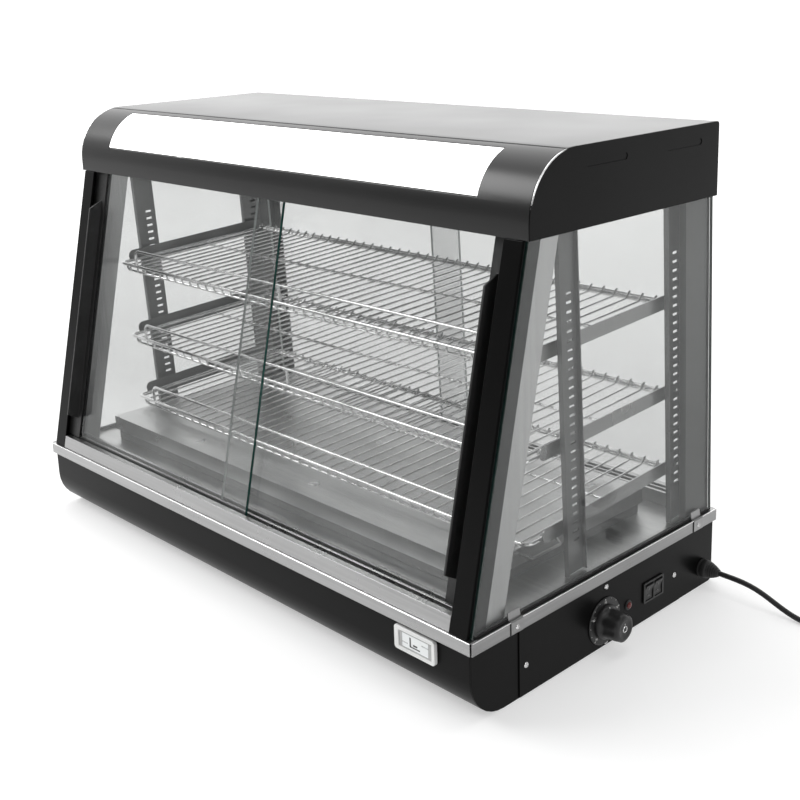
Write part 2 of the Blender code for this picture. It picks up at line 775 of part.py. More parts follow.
def build_lamp():
    """The opal window in the canopy's curved front and the tube behind it."""
    nose = (CANOPY_FRONT_Y + CANOPY_NOSE_R, CANOPY_TOP_Z - CANOPY_NOSE_R)
    outer = CANOPY_NOSE_R - 0.0006
    inner = outer - 0.003
    last = 180 - math.degrees(math.asin((WINDOW_BOTTOM_Z + 0.0004 - nose[1]) / inner))
    first = 90 + WINDOW_TOP_DEG + 0.8
    outline = arc(nose, outer, first, last, 12) + arc(nose, inner, last, first, 12)
    half = WINDOW_HALF_W - GAP
    prism_x("lamp_panel", [outline], (-half, half), OPAL)

    half, radius, cap = 0.355, 0.008, 0.0068
    profile = [
        (0.0, half),
        (cap, half),
        (cap, half - 0.012),
        (radius, half - 0.0122),
        (radius, -half + 0.0122),
        (cap, -half + 0.012),
        (cap, -half),
        (0.0, -half),
    ]
    turned("lamp_tube", profile, (0.0, -0.100, 0.567), (1, 0, 0), LAMP, 16)


# ---------------------------------------------------------------- shelf rack
def build_rack_frame():
    """The empty that uprights, arms and shelves hang from: local Z runs up the uprights."""
    frame = bpy.data.objects.new("rack_frame", None)
    frame.location = (0.0, 0.0, FLOOR_TOP_Z)
    frame.rotation_euler = (RACK_LEAN, 0.0, 0.0)
    CASE.objects.link(frame)
    return frame


def build_uprights(rack):
    """Four slotted channels, open towards the side glass."""
    for place_name, middle in (("front", FRONT_UPRIGHT_B), ("back", BACK_UPRIGHT_B)):
        edges = (middle - UPRIGHT_W / 2, middle + UPRIGHT_W / 2)
        slots = []
        for index in range(SLOT_COUNT):
            z = SLOT_FIRST + index * SLOT_PITCH
            half_w, half_h = SLOT_SIZE[0] / 2, SLOT_SIZE[1] / 2
            b = middle + SLOT_OFFSET_B
            slots.append(rectangle((b - half_w, b + half_w), (z - half_h, z + half_h)))
        bottom = (2 * GAP - edges[0] * math.sin(RACK_LEAN)) / math.cos(RACK_LEAN)
        for name, side in SIDES.items():
            web = prism_x(
                "%s_upright_%s" % (place_name, name),
                [rectangle(edges, (bottom, UPRIGHT_TOP))] + slots,
                mirrored(side, (UPRIGHT_X[0], UPRIGHT_X[0] + SHEET)),
                STEEL,
                rack,
            )
            upright = to_mesh(web)
            for index, edge in enumerate((edges[0], edges[1] - SHEET)):
                flange = box(
                    "%s_flange_%s_%d" % (place_name, name, index),
                    mirrored(side, (UPRIGHT_X[0] + SHEET / 2, UPRIGHT_X[1])),
                    (edge, edge + SHEET),
                    (bottom, UPRIGHT_TOP),
                    parent=rack,
                )
                join(upright, flange)


def build_arms(rack):
    """Angle-section arms that carry the shelves, with a rounded nose at the front."""
    for level, height in SHELF_LEVELS.items():
        ledge_top = height - SHELF_T / 2 - GAP
        bottom = ledge_top - ARM_T
        top = bottom + ARM_H
        nose_r = 0.008
        outline = [(ARM_B[1], bottom), (ARM_B[1], top)]
        outline += arc((ARM_B[0] + nose_r, top - nose_r), nose_r, 90, 180, 4)
        outline += arc((ARM_B[0] + nose_r, bottom + nose_r), nose_r, 180, 270, 4)
        for name, side in SIDES.items():
            leg_x = mirrored(side, (ARM_X[1] - ARM_T, ARM_X[1]))
            arm = to_mesh(prism_x("shelf_arm_%s_%s" % (level, name), [outline], leg_x, STEEL, rack))
            ledge = box(
                "arm_ledge_%s_%s" % (level, name),
                mirrored(side, (ARM_X[0], ARM_X[1] - ARM_T / 2)),
                (ARM_B[0] + 2 * nose_r, ARM_B[1]),
                (bottom, ledge_top),
                parent=rack,
            )
            join(arm, ledge)
            for hook_name, middle in (("front", FRONT_UPRIGHT_B), ("back", BACK_UPRIGHT_B)):
                b = middle + SLOT_OFFSET_B
                hook = box(
                    "arm_hook_%s_%s_%s" % (level, name, hook_name),
                    mirrored(side, (ARM_X[1] - ARM_T / 2, UPRIGHT_X[0] - GAP)),
                    (b - 0.004, b + 0.004),
                    (bottom + 0.005, bottom + 0.013),
                    parent=rack,
                )
                join(arm, hook)


def shelf_holes():
    """The openings between a shelf's wires, in two rows either side of the crossbar."""
    rows = (
        (SHELF_B[0] + SHELF_RAIL, SHELF_CROSSBAR_B - SHELF_RAIL / 2),
        (SHELF_CROSSBAR_B + SHELF_RAIL / 2, SHELF_B[1] - SHELF_RAIL),
    )
    count = int(2 * (SHELF_HALF_W - SHELF_RAIL) / WIRE_PITCH)
    edge = SHELF_HALF_W - SHELF_RAIL
    wires = [(index - count / 2) * WIRE_PITCH for index in range(count + 1)]
    edges = [-edge] + wires + [edge]
    holes = []
    for left, right in zip(edges, edges[1:]):
        low = left + (WIRE_T / 2 if left > -edge else 0.0)
        high = right - (WIRE_T / 2 if right < edge else 0.0)
        if high - low > WIRE_T:
            holes += [rectangle((low, high), row) for row in rows]
    return holes


def build_shelves(rack):
    """Wire shelves: a flat grid with a raised guard wire along the front."""
    rim = rectangle((-SHELF_HALF_W, SHELF_HALF_W), SHELF_B)
    holes = shelf_holes()
    for level, height in SHELF_LEVELS.items():
        span = (height - SHELF_T / 2, height + SHELF_T / 2)
        shelf = to_mesh(prism_z("wire_shelf_" + level, [rim] + holes, span, CHROME, rack))
        b = SHELF_B[0] + SHELF_RAIL / 2
        top = height + GUARD_RISE
        corner = 0.008
        wire = [
            (-GUARD_HALF_W, b, height),
            (-GUARD_HALF_W, b, top - corner),
            (-GUARD_HALF_W + corner, b, top),
            (GUARD_HALF_W - corner, b, top),
            (GUARD_HALF_W, b, top - corner),
            (GUARD_HALF_W, b, height),
        ]
        join(shelf, to_mesh(tube("guard_" + level, wire, 0.0022, parent=rack)))
        b = SHELF_B[1] - REAR_RAIL_R
        x = SHELF_HALF_W - 0.001
        z = height + REAR_RAIL_RISE
        rear = to_mesh(tube("rear_rail_" + level, [(-x, b, z), (x, b, z)], REAR_RAIL_R, parent=rack))
        boolean(shelf, rear, "UNION", "MANIFOLD")


# ---------------------------------------------------------------- controls
def build_control_panel():
    """The panel plate, with holes for the thermostat, the pilot lamp and the switches."""
    rocker_hole = rectangle(
        (ROCKER_FRAME_Y[0] + 0.002, ROCKER_FRAME_Y[1] - 0.002),
        (ROCKER_FRAME_Z[0] + 0.002, ROCKER_FRAME_Z[1] - 0.002),
    )
    loops = [
        rectangle(PANEL_Y, PANEL_Z),
        circle((DIAL_Y, DIAL_Z), 0.0063, 16),
        circle((PILOT_Y, PILOT_Z), PILOT_R - 0.0007, 16),
        rocker_hole,
    ]
    prism_x("control_panel", loops, (PANEL_X, PANEL_X + PANEL_T), BLACK)


def build_thermostat():
    """Thermostat body behind the panel with its dial plate and shaft in front, and the knob."""
    face = PANEL_X + PANEL_T
    body = box(
        "thermostat",
        (0.4100, PANEL_X - 0.0025),
        (DIAL_Y - 0.020, DIAL_Y + 0.020),
        (DIAL_Z - 0.018, DIAL_Z + 0.018),
        PLASTIC,
    )
    dial_t = 0.0022
    profile = [
        (0.0, 0.0150),
        (SHAFT_R, 0.0150),
        (SHAFT_R, dial_t),
        (DIAL_R - 0.0012, dial_t),
        (DIAL_R, dial_t - 0.0012),
        (DIAL_R, 0.0),
        (0.006, 0.0),
        (0.006, -0.008),
        (0.0, -0.008),
    ]
    dial = turned("thermostat_dial", profile, (face + GAP, DIAL_Y, DIAL_Z), (1, 0, 0), None, 32)
    join(body, dial)

    base_x = face + GAP + dial_t + GAP
    skirt_h = 0.0065
    bore = SHAFT_R + GAP
    profile = [
        (0.0, 0.0150),
        (0.0165, 0.0150),
        (0.0185, 0.0135),
        (0.0195, skirt_h + 0.0015),
        (KNOB_R - 0.0015, skirt_h),
        (KNOB_R, skirt_h - 0.0015),
        (KNOB_R, 0.0),
        (bore, 0.0),
        (bore, 0.0130),
        (0.0, 0.0130),
    ]
    knob = turned("thermostat_knob", profile, (base_x, DIAL_Y, DIAL_Z), (1, 0, 0), PLASTIC, 32)
    grip = rounded_rectangle((-0.0055, 0.0055), (-0.0175, 0.0175), 0.005)
    bar = prism_x(
        "knob_grip",
        [[(DIAL_Y + y, DIAL_Z + z) for y, z in grip]],
        (base_x + 0.0140, base_x + KNOB_DEPTH),
    )
    join(knob, to_mesh(bar))


def build_pilot_lamp():
    """The red pilot lamp, whose body passes through the panel."""
    face = PANEL_X + PANEL_T
    stem = PILOT_R - 0.0010
    profile = (
        [(0.0, 0.0045), (PILOT_R - 0.0025, 0.0040), (PILOT_R - 0.0008, 0.0026), (PILOT_R - 0.0004, 0.0012)]
        + [(PILOT_R + 0.0010, 0.0010), (PILOT_R + 0.0010, 0.0)]
        + [(stem, 0.0), (stem, -0.016), (0.0, -0.016)]
    )
    turned("pilot_lamp", profile, (face + GAP, PILOT_Y, PILOT_Z), (1, 0, 0), RED, 20)


def build_switches():
    """A double switch frame and its two rockers, each tilted to its off side."""
    face = PANEL_X + PANEL_T
    flange = prism_x(
        "rocker_frame",
        [rounded_rectangle(ROCKER_FRAME_Y, ROCKER_FRAME_Z, 0.002)],
        (face + GAP, face + 0.0022),
        PLASTIC,
    )
    frame = to_mesh(flange)
    barrel = box(
        "rocker_barrel",
        (0.4250, face + 0.0010),
        (ROCKER_FRAME_Y[0] + 0.0024, ROCKER_FRAME_Y[1] - 0.0024),
        (ROCKER_FRAME_Z[0] + 0.0024, ROCKER_FRAME_Z[1] - 0.0024),
    )
    join(frame, barrel)
    middle_z = (ROCKER_FRAME_Z[0] + ROCKER_FRAME_Z[1]) / 2
    for name, y in ROCKER_Y.items():
        well = box(
            "rocker_well_" + name,
            (0.4300, face + 0.01),
            (y - ROCKER_W / 2 - 0.0005, y + ROCKER_W / 2 + 0.0005),
            (middle_z - 0.0113, middle_z + 0.0113),
        )
        cut(frame, well)
        half = ROCKER_H / 2
        outline = [
            (-half, 0.0052),
            (-half + 0.001, -0.0040),
            (half - 0.001, -0.0040),
            (half, 0.0052),
            (half * 0.5, 0.0040),
            (0.0, 0.0036),
            (-half * 0.5, 0.0040),
        ]
        rocker = prism_y(
            "rocker_" + name,
            [[(x, z) for z, x in outline][::-1]],
            (-ROCKER_W / 2, ROCKER_W / 2),
            PLASTIC,
        )
        pivot = bpy.data.objects.new("rocker_pivot_" + name, None)
        pivot.location = (ROCKER_PIVOT_X, y, middle_z)
        pivot.rotation_euler = (0.0, math.radians(ROCKER_TILT_DEG), 0.0)
        CASE.objects.link(pivot)
        rocker.parent = pivot


def build_thermometer():
    """The thermometer's case on the front of the base, with a sunk window."""
    back = BASE_FRONT_Y - GAP
    front = back - THERMO_DEPTH
    case = to_mesh(
        prism_y("thermometer", [rounded_rectangle(THERMO_X, THERMO_Z, THERMO_R)], (front, back), WHITE)
    )
    window = box(
        "thermometer_window",
        (THERMO_X[0] + 0.007, THERMO_X[1] - 0.005),
        (front - 0.005, front + 0.0015),
        (THERMO_Z[0] + 0.005, THERMO_Z[1] - 0.005),
    )
    cut(case, window)


# ---------------------------------------------------------------- mains lead
def catmull_rom(points, spacing):
    """A smooth curve through the points, read off at about the given spacing."""
    smooth = []
    padded = [points[0]] + list(points) + [points[-1]]
    for a, b, c, d in zip(padded, padded[1:], padded[2:], padded[3:]):
        a, b, c, d = Vector(a), Vector(b), Vector(c), Vector(d)
        steps = max(1, round((c - b).length / spacing))
        for step in range(steps):
            t = step / steps
            smooth.append(
                0.5
                * (2 * b + (c - a) * t + (2 * a - 5 * b + 4 * c - d) * t * t
                   + (3 * b - 3 * c + d - a) * t * t * t)
            )
    smooth.append(Vector(points[-1]))
    return smooth


def build_lead():
    """Gland, lead, coil and plug, lying to the right of the case."""
    stem = 0.0060
    length = GLAND_TIP_X - BASE_HALF_W - GAP
    profile = [
        (0.0, length),
        (0.0052, length),
        (0.0068, length - 0.0022),
        (0.0098, length - 0.0075),
        (0.0116, length - 0.0135),
        (GLAND_FLANGE_R, 0.0100),
        (GLAND_FLANGE_R, 0.0030),
        (GLAND_FLANGE_R - 0.0010, 0.0),
        (stem, 0.0),
        (stem, -0.010),
        (0.0, -0.010),
    ]
    turned("cable_gland", profile, (BASE_HALF_W + GAP, GLAND_Y, GLAND_Z), (1, 0, 0), RUBBER, 20)

    tube("power_cord", catmull_rom(CORD_ROUTE, 0.013), CORD_R, RUBBER)

    low, high = 0.0, COIL_H
    chamfer = 0.0045
    ring = [
        (COIL_INNER_R + chamfer, high),
        (COIL_OUTER_R - chamfer, high),
        (COIL_OUTER_R, high - 2 * chamfer),
        (COIL_OUTER_R, low),
        (COIL_INNER_R, low),
        (COIL_INNER_R, high - 2 * chamfer),
        (COIL_INNER_R + chamfer, high),
    ]
    turned("cord_coil", ring, (COIL_X, COIL_Y, 0.0001), (0, 0, 1), RUBBER, 32)

    body, relief = 0.034, 0.026
    profile = [
        (0.0, relief + body),
        (PLUG_R - 0.0015, relief + body),
        (PLUG_R, relief + body - 0.0015),
        (PLUG_R, relief + 0.010),
        (0.0120, relief + 0.002),
        (0.0065, relief - 0.004),
        (0.0048, 0.0),
        (0.0, 0.0),
    ]
    plug = turned("power_plug", profile, (PLUG_X, PLUG_START_Y, PLUG_AXIS_Z), (0, 1, 0), RUBBER)
    for index, offset in enumerate((-PIN_SPACING / 2, PIN_SPACING / 2)):
        start = relief + body - 0.002
        pin = [
            (0.0, start + PIN_LENGTH + 0.002),
            (PIN_R - 0.0006, start + PIN_LENGTH + 0.002),
            (PIN_R, start + PIN_LENGTH + 0.0012),
            (PIN_R, start),
            (0.0, start),
        ]
        made = turned(
            "plug_pin_%d" % index, pin, (PLUG_X + offset, PLUG_START_Y, PLUG_AXIS_Z), (0, 1, 0), None, 12
        )
        join(plug, made)


def smooth_round_pieces():
    """Shade the turned pieces smooth, with their crisp edges kept."""
    for obj in CASE.objects:
        if obj.type == "MESH" and any(m.type == "SCREW" for m in obj.modifiers):
            obj.data.shade_smooth()
            obj.data.set_sharp_from_angle(angle=math.radians(35))


build_base()
build_trim()
build_floor()
build_heater()
build_sills()
build_corner_frames()
build_side_glass()
build_front_doors()
build_back_doors()
build_top_tracks()
build_canopy()
build_lamp()
RACK = build_rack_frame()
build_uprights(RACK)
build_arms(RACK)
build_shelves(RACK)
build_control_panel()
build_thermostat()
build_pilot_lamp()
build_switches()
build_thermometer()
build_lead()
smooth_round_pieces()
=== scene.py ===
"""The looks of a hot food display case: finishes, wire shelves, controls, fixings and the mains lead.

Lengths are in metres. X runs along the front (positive towards the controls), Y to the back, Z up.
"""

import json
import math

import bmesh
import bpy
from mathutils import Euler, Matrix, Vector

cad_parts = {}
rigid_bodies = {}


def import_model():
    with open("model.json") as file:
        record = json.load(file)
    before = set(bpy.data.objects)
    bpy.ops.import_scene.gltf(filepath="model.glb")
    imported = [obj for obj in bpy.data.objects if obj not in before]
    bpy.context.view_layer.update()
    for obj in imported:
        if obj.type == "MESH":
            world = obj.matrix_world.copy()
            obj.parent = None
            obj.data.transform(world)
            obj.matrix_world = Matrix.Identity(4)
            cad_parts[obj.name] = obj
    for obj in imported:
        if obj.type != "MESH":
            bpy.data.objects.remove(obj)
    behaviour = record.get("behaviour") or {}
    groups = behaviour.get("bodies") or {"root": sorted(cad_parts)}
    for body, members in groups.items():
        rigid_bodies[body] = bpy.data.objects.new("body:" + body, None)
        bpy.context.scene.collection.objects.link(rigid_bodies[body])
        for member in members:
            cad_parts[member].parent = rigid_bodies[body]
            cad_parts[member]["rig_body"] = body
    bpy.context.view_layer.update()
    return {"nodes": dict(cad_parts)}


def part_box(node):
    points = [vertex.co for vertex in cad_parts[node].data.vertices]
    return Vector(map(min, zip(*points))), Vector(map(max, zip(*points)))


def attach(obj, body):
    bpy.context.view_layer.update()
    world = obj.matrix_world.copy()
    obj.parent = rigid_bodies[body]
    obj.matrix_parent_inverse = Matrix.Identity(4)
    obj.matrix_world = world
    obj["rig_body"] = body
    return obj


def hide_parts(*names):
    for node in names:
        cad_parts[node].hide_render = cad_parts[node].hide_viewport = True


for default in list(bpy.data.objects):
    bpy.data.objects.remove(default)

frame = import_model()

SCENE = bpy.context.scene
CASE = "case"
SIDES = {"left": -1, "right": 1}
STAINLESS = "brushed_stainless"
LEVELS = ("lower", "middle", "upper")


# ---------------------------------------------------------------- camera
camera_data = bpy.data.cameras.new("camera")
camera_data.lens = 55.35
camera_data.sensor_width = 36.0
camera_data.shift_y = -0.125
camera_data.clip_end = 60.0
camera = bpy.data.objects.new("camera", camera_data)
camera.location = (1.2570, -1.0884, 0.7808)
camera.rotation_euler = [math.radians(angle) for angle in (75.671, 1.831, 46.170)]
SCENE.collection.objects.link(camera)
SCENE.camera = camera


# ---------------------------------------------------------------- shader helpers
class Shader:
    """A material's node tree, with short calls for the nodes used below."""

    def __init__(self, name):
        self.material = bpy.data.materials.new(name)
        self.material.use_nodes = True
        self.tree = self.material.node_tree
        self.principled = self.tree.nodes["Principled BSDF"]
        self.output = self.tree.nodes["Material Output"]
        self.place = self.node("ShaderNodeTexCoord").outputs["Object"]

    def node(self, kind, **settings):
        made = self.tree.nodes.new(kind)
        for key, value in settings.items():
            setattr(made, key, value)
        return made

    def link(self, source, target):
        self.tree.links.new(source, target)

    def set(self, **values):
        """Set plain values on the Principled shader's sockets."""
        for key, value in values.items():
            socket = self.principled.inputs[key.replace("_", " ")]
            socket.default_value = (*value, 1.0) if isinstance(value, tuple) else value
        return self

    def stretched(self, scale):
        mapping = self.node("ShaderNodeMapping")
        mapping.inputs["Scale"].default_value = scale
        self.link(self.place, mapping.inputs["Vector"])
        return mapping.outputs["Vector"]

    def noise(self, scale, detail=3.0, stretch=None, roughness=0.55):
        made = self.node("ShaderNodeTexNoise")
        made.inputs["Scale"].default_value = scale
        made.inputs["Detail"].default_value = detail
        made.inputs["Roughness"].default_value = roughness
        self.link(self.stretched(stretch) if stretch else self.place, made.inputs["Vector"])
        return made.outputs["Fac"]

    def ranged(self, source, low, high, start=0.3, end=0.7):
        """Map a noise value to the span low..high."""
        made = self.node("ShaderNodeMapRange")
        made.inputs["From Min"].default_value = start
        made.inputs["From Max"].default_value = end
        made.inputs["To Min"].default_value = low
        made.inputs["To Max"].default_value = high
        self.link(source, made.inputs["Value"])
        return made.outputs["Result"]

    def mixed(self, factor, first, second):
        """A colour between two, by a noise value."""
        ramp = self.node("ShaderNodeValToRGB")
        ramp.color_ramp.elements[0].position = 0.3
        ramp.color_ramp.elements[1].position = 0.7
        ramp.color_ramp.elements[0].color = (*first, 1.0)
        ramp.color_ramp.elements[1].color = (*second, 1.0)
        self.link(factor, ramp.inputs["Fac"])
        return ramp.outputs["Color"]

    def bump(self, height, strength, distance):
        made = self.node("ShaderNodeBump")
        made.inputs["Strength"].default_value = strength
        made.inputs["Distance"].default_value = distance
        self.link(height, made.inputs["Height"])
        self.link(made.outputs["Normal"], self.principled.inputs["Normal"])

    def drive(self, socket, source):
        self.link(source, self.principled.inputs[socket])


def grey(value):
    return (value, value, value)


def powder_coat(name, base, specular=0.35):
    """Black powder coating: orange-peel relief, faint cloudiness and slightly uneven gloss."""
    shader = Shader(name).set(Specular_IOR_Level=specular, Metallic=0.0)
    cloud = shader.noise(9.0, 4.0)
    shader.drive("Base Color", shader.mixed(cloud, grey(base * 0.8), grey(base * 1.25)))
    shader.drive("Roughness", shader.ranged(shader.noise(5.0, 2.0), 0.29, 0.33))
    shader.bump(shader.noise(900.0, 2.0), 0.06, 0.0002)
    return shader.material


def brushed_steel(name, base, along, roughness=(0.24, 0.38), grain=90.0):
    """Stainless sheet with a fine brushed grain along one axis, and smudges across it."""
    shader = Shader(name).set(Metallic=1.0)
    stretch = [1.0, 1.0, 1.0]
    stretch["xyz".index(along)] = 0.015
    fine = shader.noise(grain * 3, 2.0, tuple(stretch), 0.6)
    smudge = shader.noise(14.0, 4.0)
    tone = shader.node("ShaderNodeMath", operation="MULTIPLY_ADD")
    tone.inputs[1].default_value = 0.55
    shader.link(fine, tone.inputs[0])
    soft = shader.node("ShaderNodeMath", operation="MULTIPLY")
    soft.inputs[1].default_value = 0.45
    shader.link(smudge, soft.inputs[0])
    shader.link(soft.outputs[0], tone.inputs[2])
    tone = shader.mixed(tone.outputs[0], grey(base * 0.87), grey(base * 1.11))
    shader.drive("Base Color", tone)
    shader.drive("Roughness", shader.ranged(smudge, *roughness))
    shader.bump(fine, 0.015, 0.0001)
    return shader.material


def chrome(name, base=0.93):
    """Bright plated wire with small dull patches."""
    shader = Shader(name).set(Metallic=1.0)
    patch = shader.noise(55.0, 3.0)
    shader.drive("Base Color", shader.mixed(patch, grey(base * 0.8), grey(base * 1.07)))
    shader.drive("Roughness", shader.ranged(shader.noise(140.0, 2.0), 0.07, 0.16))
    shader.bump(shader.noise(900.0, 2.0), 0.08, 0.0002)
    return shader.material


def moulded(name, first, second, roughness=(0.34, 0.50), scale=1800.0, specular=0.45):
    """Moulded plastic or rubber with a fine spark-eroded skin."""
    shader = Shader(name).set(Specular_IOR_Level=specular)
    shader.drive("Base Color", shader.mixed(shader.noise(40.0, 3.0), first, second))
    shader.drive("Roughness", shader.ranged(shader.noise(220.0, 2.0), *roughness))
    shader.bump(shader.noise(scale, 2.0), 0.22, 0.00018)
    return shader.material


def glowing(name, colour, strength, variation=0.03):
    """A lit opal surface."""
    shader = Shader(name).set(Roughness=0.35, Emission_Strength=strength)
    low = tuple(c * (1 - variation) for c in colour)
    cloud = shader.mixed(shader.noise(6.0, 2.0), low, colour)
    shader.drive("Base Color", cloud)
    shader.drive("Emission Color", cloud)
    shader.bump(shader.noise(700.0, 2.0), 0.05, 0.0002)
    return shader.material


def clear_glass(name, tint=0.885, haze=0.024):
    """A clean pane: what is behind it, a mirror reflection that grows at an angle, a trace of film."""
    shader = Shader(name)
    nodes = shader.tree.nodes
    nodes.remove(shader.principled)
    through = shader.node("ShaderNodeBsdfTransparent")
    through.inputs["Color"].default_value = (tint * 0.997, tint, tint * 0.998, 1.0)
    mirror = shader.node("ShaderNodeBsdfGlossy")
    mirror.inputs["Color"].default_value = (0.55, 0.56, 0.555, 1.0)
    mirror.inputs["Roughness"].default_value = 0.015
    fresnel = shader.node("ShaderNodeFresnel")
    facing_out = shader.node("ShaderNodeNewGeometry").outputs["Backfacing"]
    shader.link(shader.ranged(facing_out, 1.45, 1 / 1.45, 0.0, 1.0), fresnel.inputs["IOR"])
    pane = shader.node("ShaderNodeMixShader")
    shader.link(fresnel.outputs["Fac"], pane.inputs["Fac"])
    shader.link(through.outputs["BSDF"], pane.inputs[1])
    shader.link(mirror.outputs["BSDF"], pane.inputs[2])
    film = shader.node("ShaderNodeBsdfDiffuse")
    film.inputs["Color"].default_value = (0.80, 0.82, 0.82, 1.0)
    dusty = shader.node("ShaderNodeMixShader")
    cloud = shader.noise(7.0, 5.0, (1.0, 1.0, 0.35), 0.6)
    shader.link(shader.ranged(cloud, haze * 0.2, haze * 1.8), dusty.inputs["Fac"])
    shader.link(pane.outputs["Shader"], dusty.inputs[1])
    shader.link(film.outputs["BSDF"], dusty.inputs[2])
    shader.link(dusty.outputs["Shader"], shader.output.inputs["Surface"])
    return shader.material


def glass_edge(name, dark, pale):
    """The polished green edge of a pane."""
    shader = Shader(name).set(Specular_IOR_Level=0.6, Roughness=0.12)
    streaks = shader.noise(30.0, 3.0, (1.0, 1.0, 0.2))
    shader.drive("Base Color", shader.mixed(streaks, dark, pale))
    shader.bump(shader.noise(500.0, 2.0), 0.05, 0.0002)
    return shader.material


PAINT = powder_coat("canopy_powder_coat", 0.0036, 0.45)
PANEL_PAINT = powder_coat("panel_powder_coat", 0.0034, 0.08)
STEEL_X = brushed_steel("steel_grain_x", 0.38, "x")
STEEL_COVER = brushed_steel("steel_cover", 0.46, "x", (0.26, 0.38))
# painted light: a paler copy of the same stainless, for the brightly lit front posts
STEEL_PAINTED_LIGHT = brushed_steel("steel_painted_light", 0.56, "z", (0.34, 0.44))
STEEL_Y = brushed_steel("steel_grain_y", 0.28, "y")
STEEL_Z = brushed_steel("steel_grain_z", 0.14, "z", (0.30, 0.42))
# painted shade: a much darker copy of the same stainless, for the back posts, standing in for the dark
# surroundings they reflect
STEEL_POST_PAINTED_SHADE = brushed_steel("steel_post_painted_shade", 0.10, "z", (0.34, 0.48))
# painted shade: a darker copy of the same stainless for parts that sit in shade, such as the heater box,
# the top tracks and the left shelf arms
STEEL_PAINTED_SHADE = brushed_steel("steel_shaded", 0.16, "y", (0.34, 0.48))
STEEL_FLOOR = brushed_steel("steel_floor", 0.52, "x", (0.30, 0.44))
STEEL_BRIGHT = brushed_steel("steel_bright", 0.66, "y", (0.14, 0.24))
CHROME = chrome("plated_wire")
PLASTIC = moulded("black_moulding", grey(0.010), grey(0.016))
RUBBER = moulded("black_rubber_skin", grey(0.012), grey(0.019), (0.48, 0.62), 1300.0, 0.35)
WHITE = moulded("white_moulding", (0.72, 0.73, 0.72), (0.82, 0.82, 0.81), (0.26, 0.40))
PRINT = moulded("white_print", (0.62, 0.62, 0.61), (0.74, 0.74, 0.72), (0.5, 0.6), 900.0)
FAINT_PRINT = moulded("faint_print", grey(0.16), grey(0.22), (0.5, 0.6), 900.0)
GAUGE_GREY = moulded("gauge_grey", grey(0.34), grey(0.46), (0.3, 0.4), 900.0)
DISPLAY = moulded("display_face", (0.82, 0.84, 0.85), (0.88, 0.90, 0.90), (0.3, 0.4), 900.0)
INK = moulded("dark_ink", grey(0.02), grey(0.03), (0.5, 0.6), 900.0)
RED_DARK, RED_PALE = (0.085, 0.006, 0.005), (0.13, 0.010, 0.008)
RED = moulded("red_lens_skin", RED_DARK, RED_PALE, (0.10, 0.18), 500.0, 0.6)
OPAL = glowing("lit_opal", (1.0, 1.0, 1.0), 1.25)
TUBE_GLOW = glowing("lit_tube", (1.0, 0.98, 0.95), 2.5)
GLASS = clear_glass("clear_pane")
EDGE = glass_edge("pane_edge", (0.006, 0.030, 0.025), (0.020, 0.075, 0.062))
# painted light and shade: pale and darker copies of the green edge colour
EDGE_PAINTED_LIGHT = glass_edge("pane_edge_painted_light", (0.52, 0.56, 0.55), (0.78, 0.82, 0.81))
EDGE_PAINTED_SHADE = glass_edge("pane_edge_painted_shade", (0.004, 0.012, 0.010), (0.010, 0.028, 0.024))
# painted highlight: a near-white metal bead laid along the trim ridges and the nose ends so that they
# show a bright line
PAINTED_HIGHLIGHT_EDGE = brushed_steel("painted_highlight_edge", 0.92, "x", (0.20, 0.30))
# black seal colour, used also as painted shade for the strips beside the trim clips and along the canopy
# fold
SEAL_AND_SHADE = moulded("black_seal_and_painted_shade", grey(0.008), grey(0.012), (0.5, 0.65), 1200.0, 0.3)


# ---------------------------------------------------------------- piece helpers
def piece_from(name, work, material, body=CASE, replaces=(), smooth=35.0, bevel=0.0):
    """Make an object from bmesh data, give it a finish and hang it on a CAD body."""
    bmesh.ops.recalc_face_normals(work, faces=work.faces)
    mesh = bpy.data.meshes.new(name)
    work.to_mesh(mesh)
    work.free()
    materials = material if isinstance(material, (list, tuple)) else [material]
    for one in materials:
        mesh.materials.append(one)
    mesh.shade_smooth()
    mesh.set_sharp_from_angle(angle=math.radians(smooth))
    obj = bpy.data.objects.new(name, mesh)
    SCENE.collection.objects.link(obj)
    if bevel:
        soften(obj, bevel)
    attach(obj, body)
    if replaces:
        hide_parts(*replaces)
    return obj


def soften(obj, width, segments=2):
    """Round the crisp edges a little, so that they catch the light."""
    bevel = obj.modifiers.new("soft_edges", "BEVEL")
    bevel.width = width
    bevel.segments = segments
    bevel.limit_method = "ANGLE"
    bevel.angle_limit = math.radians(40)
    bevel.harden_normals = True
    bevel.use_clamp_overlap = True


def body_of_node(node):
    return frame["nodes"][node]["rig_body"]


def refined(node, material, bevel=0.0004, smooth=30.0):
    """The CAD node's own shape, welded, with soft edges and smooth curves."""
    work = bmesh.new()
    work.from_mesh(frame["nodes"][node].data)
    bmesh.ops.remove_doubles(work, verts=work.verts, dist=0.000002)
    flat = math.radians(0.6)
    bmesh.ops.dissolve_limit(work, angle_limit=flat, verts=work.verts, edges=work.edges)
    for face in work.faces:
        face.material_index = 0
    body, name = body_of_node(node), node + "_finish"
    return piece_from(name, work, material, body, [node], smooth, bevel)


def add_box(work, low, high, matrix=None):
    """Add a box to bmesh data between two corners."""
    size = [b - a for a, b in zip(low, high)]
    middle = [(a + b) / 2 for a, b in zip(low, high)]
    place = Matrix.Translation(middle) @ Matrix.Diagonal((*size, 1.0))
    return bmesh.ops.create_cube(work, size=1.0, matrix=(matrix or Matrix()) @ place)


def on_circle(radius, angle, height=0.0):
    return Vector((radius * math.cos(angle), radius * math.sin(angle), height))


def turns(steps):
    """Angles in equal steps round a full turn."""
    return [2 * math.pi * step / steps for step in range(steps)]


def join_rings(work, first, second):
    """Faces between two rings with the same number of points."""
    count = len(first)
    for step in range(count):
        follow = (step + 1) % count
        work.faces.new((first[step], first[follow], second[follow], second[step]))


